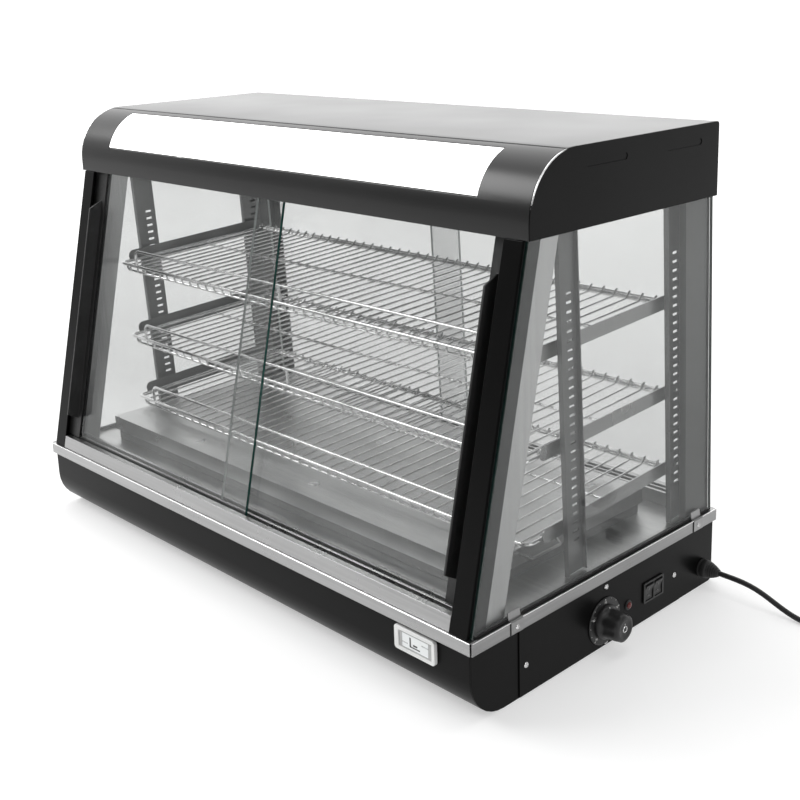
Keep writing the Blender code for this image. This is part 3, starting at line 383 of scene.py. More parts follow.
def add_tube(work, points, radius, sides=8, caps=True, closed=False):
    """Sweep a round section along points, turning it with the path."""
    points = [Vector(point) for point in points]
    radii = radius if isinstance(radius, (list, tuple)) else [radius] * len(points)
    count = len(points)
    normal = None
    rings = []
    for index, point in enumerate(points):
        before = points[index - 1] if index or closed else point
        after = points[(index + 1) % count] if index < count - 1 or closed else point
        tangent = (after - before).normalized()
        if normal is None:
            helper = Vector((0, 0, 1)) if abs(tangent.z) < 0.9 else Vector((1, 0, 0))
            normal = tangent.cross(helper).normalized()
        normal = (normal - tangent * normal.dot(tangent)).normalized()
        side = tangent.cross(normal)
        ring = []
        for step in range(sides):
            angle = 2 * math.pi * step / sides
            offset = normal * math.cos(angle) + side * math.sin(angle)
            ring.append(work.verts.new(point + offset * radii[index]))
        rings.append(ring)
    pairs = list(zip(rings, rings[1:]))
    if closed:
        pairs.append((rings[-1], rings[0]))
    for first, second in pairs:
        join_rings(work, first, second)
    if caps and not closed:
        work.faces.new(rings[0][::-1])
        work.faces.new(rings[-1])


def add_turned(work, profile, matrix, steps=32):
    """Spin (radius, height) points round the local Z axis. The profile starts and ends on the axis."""
    rings = []
    for radius, height in profile:
        if radius < 1e-7:
            rings.append([work.verts.new(matrix @ Vector((0, 0, height)))])
            continue
        spots = [on_circle(radius, angle, height) for angle in turns(steps)]
        rings.append([work.verts.new(matrix @ spot) for spot in spots])
    for first, second in zip(rings, rings[1:]):
        for step in range(steps):
            follow = (step + 1) % steps
            if len(first) == 1 and len(second) > 1:
                work.faces.new((first[0], second[step], second[follow]))
            elif len(second) == 1 and len(first) > 1:
                work.faces.new((first[step], second[0], first[follow]))
            elif len(first) > 1:
                work.faces.new((first[step], second[step], second[follow], first[follow]))


def facing(location, direction):
    """A matrix that puts local Z along a direction at a place."""
    turn = Vector(direction).to_track_quat("Z", "Y").to_matrix().to_4x4()
    return Matrix.Translation(location) @ turn


def arc(centre, radius, start_deg, end_deg, steps):
    points = []
    for step in range(steps + 1):
        angle = math.radians(start_deg + (end_deg - start_deg) * step / steps)
        points.append((centre[0] + radius * math.cos(angle), centre[1] + radius * math.sin(angle)))
    return points


def rounded_rectangle(a, b, radius, steps=5):
    return (
        arc((a[1] - radius, b[0] + radius), radius, -90, 0, steps)
        + arc((a[1] - radius, b[1] - radius), radius, 0, 90, steps)
        + arc((a[0] + radius, b[1] - radius), radius, 90, 180, steps)
        + arc((a[0] + radius, b[0] + radius), radius, 180, 270, steps)
    )


def add_prism(work, outline, place):
    """Add a solid between two copies of an outline. place(point, end) gives the corner at end 0 or 1."""
    first = [work.verts.new(place(point, 0)) for point in outline]
    second = [work.verts.new(place(point, 1)) for point in outline]
    work.faces.new(first)
    work.faces.new(second[::-1])
    count = len(outline)
    for index in range(count):
        follow = (index + 1) % count
        work.faces.new((first[index], second[index], second[follow], first[follow]))


def add_frame(work, outer, inner, place):
    """Add a flat ring between two outlines with the same number of points."""
    loops = []
    for end in (0, 1):
        for outline in (outer, inner):
            loops.append([work.verts.new(place(point, end)) for point in outline])
    outer0, inner0, outer1, inner1 = loops
    count = len(outer)
    for index in range(count):
        follow = (index + 1) % count
        work.faces.new((outer0[index], outer0[follow], inner0[follow], inner0[index]))
        work.faces.new((outer1[index], inner1[index], inner1[follow], outer1[follow]))
        work.faces.new((outer0[index], outer1[index], outer1[follow], outer0[follow]))
        work.faces.new((inner0[index], inner0[follow], inner1[follow], inner1[index]))


def smoothstep(value):
    value = min(max(value, 0.0), 1.0)
    return value * value * (3 - 2 * value)


# ---------------------------------------------------------------- mains lead
CORD_R = 0.0035
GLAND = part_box("cable_gland")
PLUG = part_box("power_plug")
LEAD_START = Vector((GLAND[1].x + 0.0003, 0.2080, 0.0263))
LEAD_X = [0.4725 + 0.0125 * step for step in range(13)]
LEAD_Z = [0.0263, 0.0263, 0.0262, 0.0255, 0.0237, 0.0206, 0.0163]
LEAD_Z += [0.0117, 0.0077, 0.0049, 0.0038, CORD_R, CORD_R]
LEAD_Y_END = 0.2050
COIL_PITCH = 0.0071
COIL_TURNS = 3.125
COIL_OUTER = 0.0513
COIL_LEVELS = (CORD_R, CORD_R + 0.0071)
PLUG_AXIS_Z = 0.0185
STRAP_T = 0.0009
COIL_X = (PLUG[0].x + PLUG[1].x) / 2 - COIL_OUTER
COIL_Y = LEAD_Y_END + COIL_OUTER


def lead_points():
    """From the gland to the floor, two layers of turns, and up into the plug."""
    points = []
    count = len(LEAD_X)
    for index, (x, z) in enumerate(zip(LEAD_X, LEAD_Z)):
        share = smoothstep(index / (count - 1))
        points.append(Vector((x, LEAD_START.y + (LEAD_Y_END - LEAD_START.y) * share, z)))
    points[0] = LEAD_START.copy()
    steps = 18
    total = int(2 * COIL_TURNS * steps + 0.5)
    for index in range(total + 1):
        turn = index / steps
        angle = -math.pi / 2 + 2 * math.pi * turn
        inwards = min(turn, 2 * COIL_TURNS - turn)
        radius = COIL_OUTER - COIL_PITCH * inwards
        climb = smoothstep((turn - COIL_TURNS + 0.14) / 0.28)
        z = COIL_LEVELS[0] + (COIL_LEVELS[1] - COIL_LEVELS[0]) * climb
        x = COIL_X + radius * math.cos(angle)
        points.append(Vector((x, COIL_Y + radius * math.sin(angle), z)))
    last = points[-1]
    end = Vector((last.x, PLUG[0].y + 0.004, PLUG_AXIS_Z))
    rest = 3
    for index in range(1, rest + 1):
        share = index / rest
        z = last.z + (end.z - last.z) * smoothstep(share)
        points.append(Vector((last.x, last.y + (end.y - last.y) * share, z)))
    return points


def build_lead():
    curve = bpy.data.curves.new("power_lead", "CURVE")
    curve.dimensions = "3D"
    curve.bevel_depth = CORD_R
    curve.bevel_resolution = 3
    curve.resolution_u = 4
    curve.use_fill_caps = True
    points = lead_points()
    spline = curve.splines.new("BEZIER")
    spline.bezier_points.add(len(points) - 1)
    for spot, point in zip(spline.bezier_points, points):
        spot.co = point
        spot.handle_left_type = "AUTO"
        spot.handle_right_type = "AUTO"
    curve.materials.append(RUBBER)
    lead = bpy.data.objects.new("power_lead", curve)
    SCENE.collection.objects.link(lead)
    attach(lead, CASE)
    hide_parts("power_cord", "cord_coil")
    return lead


def build_gland():
    """A moulded gland: nut with flats, ribbed flexible sleeve and a lip round the lead."""
    work = bmesh.new()
    length = GLAND[1].x - 0.4453
    place = facing((0.4453, LEAD_START.y, LEAD_START.z), (1, 0, 0))
    profile = [(0.0, length), (0.0040, length), (0.0050, length - 0.0006)]
    ribs = 5
    start, end = 0.0120, length - 0.0015
    for index in range(ribs):
        low = end - (end - start) * index / ribs
        high = end - (end - start) * (index + 0.62) / ribs
        grow = 0.0052 + 0.0060 * (index / ribs) ** 0.8
        follow = 0.0052 + 0.0060 * ((index + 0.62) / ribs) ** 0.8
        profile += [(grow, low), (follow, high), (follow - 0.0009, high - 0.0002)]
        profile.append((follow - 0.0007, end - (end - start) * (index + 0.95) / ribs))
    profile += [(0.0113, 0.0108), (0.0119, 0.0100), (0.0120, 0.0092), (0.0120, 0.0034)]
    profile += [(0.0117, 0.0030), (0.0117, 0.0026), (0.0120, 0.0022), (0.0120, 0.0006)]
    profile += [(0.0114, 0.0), (0.0, 0.0)]
    add_turned(work, profile, place, 36)
    for index in range(6):
        angle = math.radians(60 * index + 15)
        turn = Matrix.Rotation(angle, 4, "Z")
        add_box(work, (-0.0011, 0.0103, 0.0040), (0.0011, 0.0119, 0.0096), place @ turn)
    piece_from("lead_gland", work, RUBBER, CASE, ["cable_gland"], 40.0)


def build_plug():
    """A moulded two-pin plug with a ribbed strain relief and finger grips."""
    work = bmesh.new()
    x = (PLUG[0].x + PLUG[1].x) / 2
    place = facing((x, PLUG[0].y, PLUG_AXIS_Z), (0, 1, 0))
    radius = (PLUG[1].x - PLUG[0].x) / 2
    face = 0.060
    profile = [(0.0, face), (radius - 0.0024, face), (radius - 0.0012, face - 0.0005)]
    profile += [(radius - 0.0004, face - 0.0018), (radius - 0.0002, face - 0.004)]
    for index in range(5):
        low = face - 0.008 - 0.0036 * index
        profile += [(radius - 0.0002, low), (radius - 0.0012, low - 0.0007)]
        profile += [(radius - 0.0012, low - 0.0015), (radius - 0.0002, low - 0.0022)]
    profile += [(radius - 0.0008, 0.0310), (0.0140, 0.0272), (0.0100, 0.0246), (0.0078, 0.0232)]
    for index in range(5):
        low = 0.0220 - 0.0042 * index
        wide = 0.0074 - 0.00045 * index
        profile += [(wide, low), (wide, low - 0.0022), (wide - 0.0011, low - 0.0026)]
        profile.append((wide - 0.0012, low - 0.0036))
    profile += [(0.0048, 0.0002), (0.0040, 0.0), (0.0, 0.0)]
    add_turned(work, profile, place, 40)
    body = piece_from("lead_plug", work, RUBBER, CASE, ["power_plug"], 40.0)

    work = bmesh.new()
    for side in (-1, 1):
        spot = facing((x + side * 0.0095, PLUG[0].y, PLUG_AXIS_Z), (0, 1, 0))
        tip = PLUG[1].y - PLUG[0].y
        pin = [(0.0, tip), (0.0012, tip - 0.0001), (0.0021, tip - 0.0007), (0.0024, tip - 0.0018)]
        pin += [(0.0024, face + 0.0006), (0.0028, face + 0.0002)]
        pin += [(0.0028, face - 0.001), (0.0, face - 0.001)]
        add_turned(work, pin, spot, 20)
    pins = piece_from("plug_pins", work, STEEL_BRIGHT, CASE)
    return body, pins


def build_tie():
    """A strap round the bundle of turns, with its tail."""
    inner = COIL_OUTER - COIL_PITCH * COIL_TURNS - CORD_R - 0.0006
    outer = COIL_OUTER + CORD_R + 0.0004
    low, high = 0.00015, COIL_LEVELS[1] + CORD_R + 0.0006
    loop = rounded_rectangle((inner, outer), (low, high), 0.0035, 4)
    across_x = (inner + STRAP_T, outer - STRAP_T)
    inside = rounded_rectangle(across_x, (low + STRAP_T, high - STRAP_T), 0.0028, 4)
    angle = math.radians(205)
    along = Vector((math.cos(angle), math.sin(angle), 0.0))
    across = Vector((-math.sin(angle), math.cos(angle), 0.0))
    centre = Vector((COIL_X, COIL_Y, 0.0))

    def place(point, end):
        sideways = across * (0.011 * (end - 0.5))
        return centre + along * point[0] + sideways + Vector((0, 0, point[1]))

    work = bmesh.new()
    add_frame(work, loop, inside, place)
    turn = Matrix.Translation(centre) @ Matrix.Rotation(angle, 4, "Z")
    tail = (outer - 0.020, -0.0045, high - 0.0002)
    add_box(work, tail, (outer - 0.006, 0.0045, high + 0.0011), turn)
    return piece_from("coil_tie", work, SEAL_AND_SHADE, CASE, (), 40.0, 0.0003)


lead = build_lead()
lead.visible_glossy = False
build_gland()
plug, plug_pins = build_plug()
tie = build_tie()


# ---------------------------------------------------------------- sheet metal and panes
def pair(stem):
    return [stem + "_left", stem + "_right"]


def dress_sheet_metal():
    """Finishes for the nodes whose own shape is right; some stainless parts get lighter or darker copies
    of the steel as painted light and shade.
    """
    groups = [
        (["base_wrap"] + pair("base_side"), PANEL_PAINT, "black_paint", 0.0004),
        (["control_panel"], PANEL_PAINT, "black_paint", 0.0003),
        (["canopy_cover"], PAINT, "black_paint", 0.0004),
        (pair("canopy_end"), PANEL_PAINT, "black_paint", 0.0),
        (pair("front_channel"), PANEL_PAINT, "black_paint", 0.0007),
        (pair("front_door_handle"), PLASTIC, "black_plastic", 0.0005),
        (["trim_front"], STEEL_X, STAINLESS, 0.0011),
        (pair("trim"), STEEL_Y, STAINLESS, 0.0005),
        (["floor_pan"], STEEL_FLOOR, STAINLESS, 0.0003),
        (["heater_cover"], STEEL_COVER, STAINLESS, 0.0008),
        (["heater_box"], STEEL_PAINTED_SHADE, STAINLESS, 0.0006),
        (["heating_element"], STEEL_PAINTED_SHADE, STAINLESS, 0.0),
        (["front_sill", "back_sill", "ceiling_panel"], STEEL_X, STAINLESS, 0.0004),
        (["front_top_track", "back_top_track"], STEEL_PAINTED_SHADE, STAINLESS, 0.0004),
        # painted light: the front posts get the paler copy of the stainless
        (pair("front_post"), STEEL_PAINTED_LIGHT, STAINLESS, 0.0005),
        # painted shade: the back posts get the much darker copy of the stainless
        (pair("back_post"), STEEL_POST_PAINTED_SHADE, STAINLESS, 0.0005),
        (["front_upright_left", "back_upright_left"], STEEL_Z, STAINLESS, 0.0002),
        (["front_upright_right", "back_upright_right"], STEEL_Z, STAINLESS, 0.0002),
        (["lamp_panel"], OPAL, "opal_diffuser", 0.0),
    ]
    # painted shade: the left shelf arms get the darker copy of the stainless, the right ones a plain one
    for level in LEVELS:
        groups.append((["shelf_arm_%s_left" % level], STEEL_PAINTED_SHADE, STAINLESS, 0.0003))
        groups.append((["shelf_arm_%s_right" % level], STEEL_Y, STAINLESS, 0.0003))
    for nodes, material, slot, bevel in groups:
        for node in nodes:
            # the embossed slots of the canopy ends need crisp shading
            refined(node, material, bevel, 8.0 if "canopy_end" in node else 30.0)


def dress_panes():
    """Panes with clear faces and green polished edges; a pale copy of the edge colour paints light on
    some edges, a darker one paints shade on the side panes' edges.
    """
    edges = {
        "front_door_glass_left": EDGE,
        "front_door_glass_right": EDGE_PAINTED_LIGHT,
        "back_door_glass_left": EDGE_PAINTED_LIGHT,
        "back_door_glass_right": EDGE_PAINTED_LIGHT,
        "side_glass_left": EDGE_PAINTED_SHADE,
        "side_glass_right": EDGE_PAINTED_SHADE,
    }
    for node, edge in edges.items():
        pane = refined(node, [GLASS, edge], 0.0)
        largest = max(face.area for face in pane.data.polygons)
        for face in pane.data.polygons:
            if face.area < 0.3 * largest:
                face.material_index = 1


# ---------------------------------------------------------------- wire shelves
RACK_LEAN = math.atan(0.05)
RACK_FOOT = Matrix.Translation((0.0, 0.0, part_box("floor_pan")[1].z))
RACK = RACK_FOOT @ Matrix.Rotation(RACK_LEAN, 4, "X")
SHELF_HALF_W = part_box("wire_shelf_lower")[1].x
SHELF_B = (-0.0995, 0.1760)
SHELF_T = 0.004
RAIL_R = 0.0025
WIRE_R = 0.0015
WIRE_PITCH = 0.020
GUARD_HALF_W = 0.365
GUARD_RISE = 0.025
REAR_RISE = 0.0044
CROSSBAR_B = 0.060


def shelf_height(level):
    """The shelf's height up the rack, from the lowest corner of its node."""
    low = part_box("wire_shelf_" + level)[0]
    drop = RACK.inverted() @ Vector((0.0, low.y, low.z))
    return drop.z + SHELF_T / 2


def rack_path(points):
    return [RACK @ Vector(point) for point in points]


def build_wire_shelf(level):
    """A plated wire shelf: rim, doubled front rail, cross wires that hook over, and a guard wire."""
    height = shelf_height(level)
    work = bmesh.new()
    x, corner = SHELF_HALF_W - RAIL_R, 0.010
    front, back = SHELF_B[0] + RAIL_R, SHELF_B[1] - RAIL_R
    rim = [(p[0], p[1], height) for p in rounded_rectangle((-x, x), (front, back), corner, 5)]
    add_tube(work, rack_path(rim), RAIL_R, 10, closed=True)

    lower = height - 0.0082
    drop_x = 0.392
    under = [(-drop_x, front, height - 0.002)]
    under += [(-drop_x + 0.0012, front, lower + 0.003), (-drop_x + 0.005, front, lower)]
    under += [(0.0, front, lower), (drop_x - 0.005, front, lower)]
    under += [(drop_x - 0.0012, front, lower + 0.003), (drop_x, front, height - 0.002)]
    add_tube(work, rack_path(under), 0.0019, 8)

    rear = height + REAR_RISE
    b = back + 0.0004
    bar = [(-x + 0.004, b, rear), (-x / 2, b, rear), (x / 2, b, rear), (x - 0.004, b, rear)]
    add_tube(work, rack_path(bar), 0.0021, 8)

    seat = height - RAIL_R - 0.0016
    bar = [(-x, CROSSBAR_B, seat + 0.001), (0.0, CROSSBAR_B, seat), (x, CROSSBAR_B, seat + 0.001)]
    add_tube(work, rack_path(bar), 0.0021, 8)

    count = int(2 * (SHELF_HALF_W - 2 * RAIL_R) / WIRE_PITCH)
    lay = height + 0.0004
    for index in range(count + 1):
        wire_x = (index - count / 2) * WIRE_PITCH
        ends = (front - RAIL_R * 0.5, back)
        wire = [
            (wire_x, ends[0] - 0.0006, lower + 0.0006),
            (wire_x, ends[0] - 0.0008, lay - 0.0025),
            (wire_x, ends[0] + 0.0010, lay + 0.0008),
            (wire_x, ends[0] + 0.0050, lay + 0.0012),
            (wire_x, CROSSBAR_B, lay),
            (wire_x, ends[1] - 0.0100, lay + 0.0004),
            (wire_x, ends[1] - 0.0050, lay + 0.0030),
            (wire_x, ends[1] - 0.0022, lay + 0.0072),
            (wire_x, ends[1] + 0.0006, lay + 0.0080),
        ]
        if abs(wire_x) > drop_x:
            wire = wire[2:]
        add_tube(work, rack_path(wire), WIRE_R, 8)

    top = height + GUARD_RISE
    bend = 0.010
    guard = [(-GUARD_HALF_W, front, height)]
    guard.append((-GUARD_HALF_W, front, top - bend))
    turn = arc((-GUARD_HALF_W + bend, top - bend), bend, 180, 90, 4)[1:]
    guard += [(p[0], front, p[1]) for p in turn]
    turn = arc((GUARD_HALF_W - bend, top - bend), bend, 90, 0, 4)
    guard += [(p[0], front, p[1]) for p in turn]
    guard.append((GUARD_HALF_W, front, height))
    add_tube(work, rack_path(guard), 0.0021, 10)
    stay = [(-0.012, front, top), (-0.012, front, (top + height) / 2), (-0.012, front, height)]
    add_tube(work, rack_path(stay), 0.0019, 8)
    name, node = "shelf_wires_" + level, "wire_shelf_" + level
    piece_from(name, work, CHROME, CASE, [node], 50.0)


# ---------------------------------------------------------------- fixings
TRIM_FACE_X = 0.450
CLIP_STARTS = (-0.176, 0.179)
CLIP_W = 0.020
GAP_W = 0.0010


def add_dome_screw(work, location, direction, radius=0.0036):
    """A dome-headed screw with a crossed recess."""
    place = facing(location, direction)
    profile = [(0.0, 0.0020), (radius * 0.30, 0.00195), (radius * 0.62, 0.00165)]
    profile += [(radius * 0.88, 0.00105), (radius, 0.00040), (radius, 0.0)]
    profile += [(radius * 0.5, -0.0003), (0.0, -0.0003)]
    add_turned(work, profile, place, 20)
    for turn in (0, 90):
        spin = Matrix.Rotation(math.radians(turn + 20), 4, "Z")
        bar = radius * 0.52
        low = (-bar, -0.00035, 0.00165)
        high = (bar, 0.00035, 0.00208)
        add_box(work, low, high, place @ spin)


def build_side_screws():
    """Four dome screws on each side of the base, and a row along the back."""
    side_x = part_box("base_side_right")[1].x
    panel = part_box("control_panel")[1].x
    spots = [(-0.147, 0.038), (0.0, 0.078), (0.0, 0.006), (0.143, 0.040)]
    for name, side in SIDES.items():
        work = bmesh.new()
        face = panel if side > 0 else side_x
        for y, z in spots:
            add_dome_screw(work, (side * face, y, z), (side, 0, 0))
        piece_from("base_screws_" + name, work, STEEL_BRIGHT, CASE, (), 50.0)
    work = bmesh.new()
    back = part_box("base_wrap")[1].y
    for x in (-0.40, -0.20, 0.0, 0.20, 0.40):
        add_dome_screw(work, (x, back, 0.050), (0, 1, 0))
    piece_from("base_screws_back", work, STEEL_BRIGHT, CASE, (), 50.0)


def build_trim_clips():
    """Bent clips over the side trim, with rivets, black strips of painted shade beside them, and a
    painted highlight along the trim's ridge.
    """
    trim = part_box("trim_front")
    trim_end_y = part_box("trim_right")[1].y
    face = TRIM_FACE_X + 0.0010
    for name, side in SIDES.items():
        clips, rivets, gap_shades = bmesh.new(), bmesh.new(), bmesh.new()
        for low in CLIP_STARTS:
            high = low + CLIP_W
            foot, top = trim[0].z + 0.0004, trim[1].z + 0.0009
            outline = [(face, foot), (face + 0.0003, foot + 0.0006), (face + 0.0003, top - 0.0014)]
            outline += [(face - 0.0010, top), (face - 0.0040, top + 0.0002)]
            outline += [(face - 0.0054, top + 0.0088), (face - 0.0062, top + 0.0094)]
            outline += [(face - 0.0070, top + 0.0086), (face - 0.0058, top - 0.0006)]
            outline += [(face - 0.0016, top - 0.0008), (face - 0.0010, top - 0.0018)]
            outline.append((face - 0.0010, foot))

            def place(point, end, low=low, high=high):
                return Vector((side * point[0], low + (high - low) * end, point[1]))

            add_prism(clips, outline, place)
            spot = (side * (face - 0.0002), (low + high) / 2, (foot + top) / 2 - 0.001)
            add_dome_screw(rivets, spot, (side, 0, 0), 0.0030)
            ends = sorted((side * (TRIM_FACE_X - 0.002), side * (TRIM_FACE_X + 0.0003)))
            # painted shade: a thin black strip each side of the clip for the dark line there
            for edge in (low - GAP_W, high):
                add_box(gap_shades, (ends[0], edge, foot), (ends[1], edge + GAP_W, trim[1].z + 0.0003))
        piece_from("trim_clips_" + name, clips, STEEL_Y, CASE, (), 35.0, 0.0003)
        piece_from("trim_rivets_" + name, rivets, STEEL_BRIGHT, CASE, (), 50.0)
        piece_from("trim_gap_shades_" + name, gap_shades, SEAL_AND_SHADE, CASE)
        # painted highlight: a bright bead along the top of the side trim
        ridge = bmesh.new()
        x, z = side * (TRIM_FACE_X - 0.0002), trim[1].z - 0.0002
        add_tube(ridge, [(x, trim[0].y + 0.0030, z), (x, trim_end_y, z)], 0.0007, 8)
        piece_from("trim_ridge_" + name, ridge, PAINTED_HIGHLIGHT_EDGE, CASE, (), 60.0)
    # painted highlight: a bright bead along the top of the front trim
    ridge = bmesh.new()
    y, z = trim[0].y + 0.0004, trim[1].z - 0.0003
    add_tube(ridge, [(trim[0].x, y, z), (trim[1].x, y, z)], 0.00075, 8)
    piece_from("trim_ridge_front", ridge, PAINTED_HIGHLIGHT_EDGE, CASE, (), 60.0)


def build_seals():
    """Dark seals between the panes and the metal round them."""
    for name, side in SIDES.items():
        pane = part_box("side_glass_" + name)
        inner, outer = sorted((abs(pane[0].x), abs(pane[1].x)))
        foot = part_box("trim_" + name)[1].z
        work = bmesh.new()
        low = [side * (inner - 0.0010), pane[0].y + 0.004, foot + 0.0002]
        high = [side * (outer + 0.0006), pane[1].y - 0.004, foot + 0.0030]
        low[0], high[0] = min(low[0], high[0]), max(low[0], high[0])
        add_box(work, low, high)
        piece_from("side_seal_" + name, work, SEAL_AND_SHADE, CASE, (), 35.0, 0.0005)


# ---------------------------------------------------------------- lamp
def build_lamp():
    """The lamp tube with capped ends, in two sprung holders."""
    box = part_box("lamp_tube")
    centre = (box[0] + box[1]) / 2
    half = (box[1].x - box[0].x) / 2
    radius = (box[1].z - box[0].z) / 2
    work = bmesh.new()
    profile = [(0.0, half - 0.013), (radius - 0.001, half - 0.0132), (radius, half - 0.0145)]
    profile += [(radius, -half + 0.0145), (radius - 0.001, -half + 0.0132), (0.0, -half + 0.013)]
    add_turned(work, profile, facing(centre, (1, 0, 0)), 28)
    piece_from("tube_glass", work, TUBE_GLOW, CASE, ["lamp_tube"], 50.0)
    caps = bmesh.new()
    holders = bmesh.new()
    for side in (-1, 1):
        place = facing(centre + Vector((side * (half - 0.0135), 0, 0)), (side, 0, 0))
        cap = [(0.0, 0.0128), (radius - 0.002, 0.0126), (radius - 0.0006, 0.0112)]
        cap += [(radius - 0.0004, 0.0020), (radius + 0.0001, 0.0010), (radius + 0.0001, 0.0)]
        cap.append((0.0, 0.0))
        add_turned(caps, cap, place, 28)
        x = side * (half + 0.0060)
        width = (centre.y - 0.0100, centre.y + 0.0100)
        outline = rounded_rectangle(width, (centre.z - 0.011, centre.z + 0.012), 0.004)

        def place_holder(point, end, x=x):
            return Vector((x + (end - 0.5) * 0.0110, point[0], point[1]))

        add_prism(holders, outline, place_holder)
    piece_from("tube_caps", caps, STEEL_BRIGHT, CASE, (), 50.0)
    piece_from("tube_holders", holders, WHITE, CASE, (), 40.0, 0.0005)


# ---------------------------------------------------------------- controls
PANEL_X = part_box("control_panel")[1].x
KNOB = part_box("thermostat_knob")
DIAL_Y = (KNOB[0].y + KNOB[1].y) / 2
DIAL_Z = (KNOB[0].z + KNOB[1].z) / 2
DIAL_FACE = PANEL_X + 0.0025
TICKS = 13
TICK_OUTER = 0.0291
DIAL_START = 225
DIAL_SWEEP = 270
DIAL_NUMBERS = ("30", "50", "70", "90", "110")
NUMBER_R = 0.0246


def dial_place(x):
    """Local X is to the right and local Y up, as seen from in front of the panel."""
    turn = Euler((math.pi / 2, 0, math.pi / 2)).to_matrix().to_4x4()
    return Matrix.Translation((x, DIAL_Y, DIAL_Z)) @ turn


def build_dial():
    """The dial plate with its printed ticks and numbers."""
    refined("thermostat", PLASTIC, 0.0)
    work = bmesh.new()
    for index in range(TICKS):
        angle = math.radians(DIAL_START - DIAL_SWEEP * index / (TICKS - 1))
        inner, width = (0.0272, 0.00042) if index % 3 == 0 else (0.0280, 0.00026)
        turn = dial_place(DIAL_FACE) @ Matrix.Rotation(angle, 4, "Z")
        add_box(work, (inner, -width, -0.0001), (TICK_OUTER, width, 0.00012), turn)
    piece_from("dial_scale", work, PRINT, CASE)
    for index, label in enumerate(DIAL_NUMBERS):
        angle = math.radians(DIAL_START - DIAL_SWEEP * index / (len(DIAL_NUMBERS) - 1))
        text = bpy.data.curves.new("dial_number_" + label, "FONT")
        text.body = label
        text.size = 0.0042
        text.extrude = 0.00010
        text.align_x = "CENTER"
        text.align_y = "CENTER"
        text.materials.append(PRINT)
        number = bpy.data.objects.new("dial_number_" + label, text)
        SCENE.collection.objects.link(number)
        offset = on_circle(NUMBER_R, angle)
        number.matrix_world = dial_place(DIAL_FACE) @ Matrix.Translation(offset)
        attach(number, CASE)


# height, radius and share of the finger hollows' depth, from the panel outwards
KNOB_SHAPE = [
    (0.0, 0.0212, 0.0), (0.0010, 0.0215, 0.0), (0.0036, 0.0211, 0.0), (0.0054, 0.0200, 0.0),
    (0.0066, 0.0189, 0.1), (0.0080, 0.0186, 0.7), (0.0100, 0.0185, 1.0), (0.0225, 0.0182, 1.0),
    (0.0252, 0.0177, 0.8), (0.0272, 0.0166, 0.5), (0.0285, 0.0148, 0.15), (0.0290, 0.0122, 0.0),
    (0.0288, 0.0110, 0.0), (0.0283, 0.0102, 0.0),
]
KNOB_HOLLOWS = 6
KNOB_HOLLOW_DEPTH = 0.0019
KNOB_RING_R = 0.0036


def build_knob():
    """A round thermostat knob: a dished skirt, six finger hollows and a sunk face with a small ring."""
    base = KNOB[0].x
    stretch = (KNOB[1].x - base) / max(height for height, _, _ in KNOB_SHAPE)
    place = dial_place(base)
    work = bmesh.new()
    rings = []
    for height, widest, hollow in KNOB_SHAPE:
        ring = []
        for angle in turns(96):
            wave = (0.5 + 0.5 * math.cos(KNOB_HOLLOWS * angle)) ** 1.6
            spot = on_circle(widest - KNOB_HOLLOW_DEPTH * hollow * wave, angle, height * stretch)
            ring.append(work.verts.new(place @ spot))
        rings.append(ring)
    for first, second in zip(rings, rings[1:]):
        join_rings(work, first, second)
    work.faces.new(rings[0][::-1])
    work.faces.new(rings[-1])
    piece_from("knob_body", work, PLASTIC, "knob", ["thermostat_knob"], 40.0)

    face = KNOB_SHAPE[-1][0] * stretch
    work = bmesh.new()
    add_box(work, (-0.0005, 0.0172, 0.0050), (0.0005, 0.0203, 0.0062), place)
    add_box(work, (-0.0004, 0.0052, face - 0.0002), (0.0004, 0.0074, face + 0.00012), place)
    piece_from("knob_pointer", work, PRINT, "knob")
    ring = bmesh.new()
    loop = [place @ on_circle(KNOB_RING_R, angle, face + 0.0001) for angle in turns(28)]
    add_tube(ring, loop, 0.0005, 8, closed=True)
    piece_from("knob_ring", ring, CHROME, "knob")


def build_pilot():
    """The pilot lamp: a black bezel and a faceted red lens."""
    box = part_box("pilot_lamp")
    y, z = (box[0].y + box[1].y) / 2, (box[0].z + box[1].z) / 2
    place = facing((PANEL_X + 0.0001, y, z), (1, 0, 0))
    radius = (box[1].y - box[0].y) / 2
    work = bmesh.new()
    bezel = [(0.0, 0.0008), (radius - 0.0022, 0.0008), (radius - 0.0020, 0.0018)]
    bezel += [(radius - 0.0010, 0.0019), (radius - 0.0001, 0.0009), (radius, 0.0)]
    bezel += [(radius - 0.0016, 0.0), (radius - 0.0016, -0.012), (0.0, -0.012)]
    add_turned(work, bezel, place, 32)
    piece_from("pilot_bezel", work, PLASTIC, CASE, ["pilot_lamp"], 40.0)
    work = bmesh.new()
    lens = [(0.0, 0.0041), (0.0015, 0.0040), (0.0029, 0.0035), (0.0038, 0.0028)]
    lens += [(radius - 0.0021, 0.0018), (radius - 0.0021, 0.0009), (0.0, 0.0009)]
    add_turned(work, lens, place, 12)
    piece_from("pilot_lens", work, RED, CASE, (), 20.0)


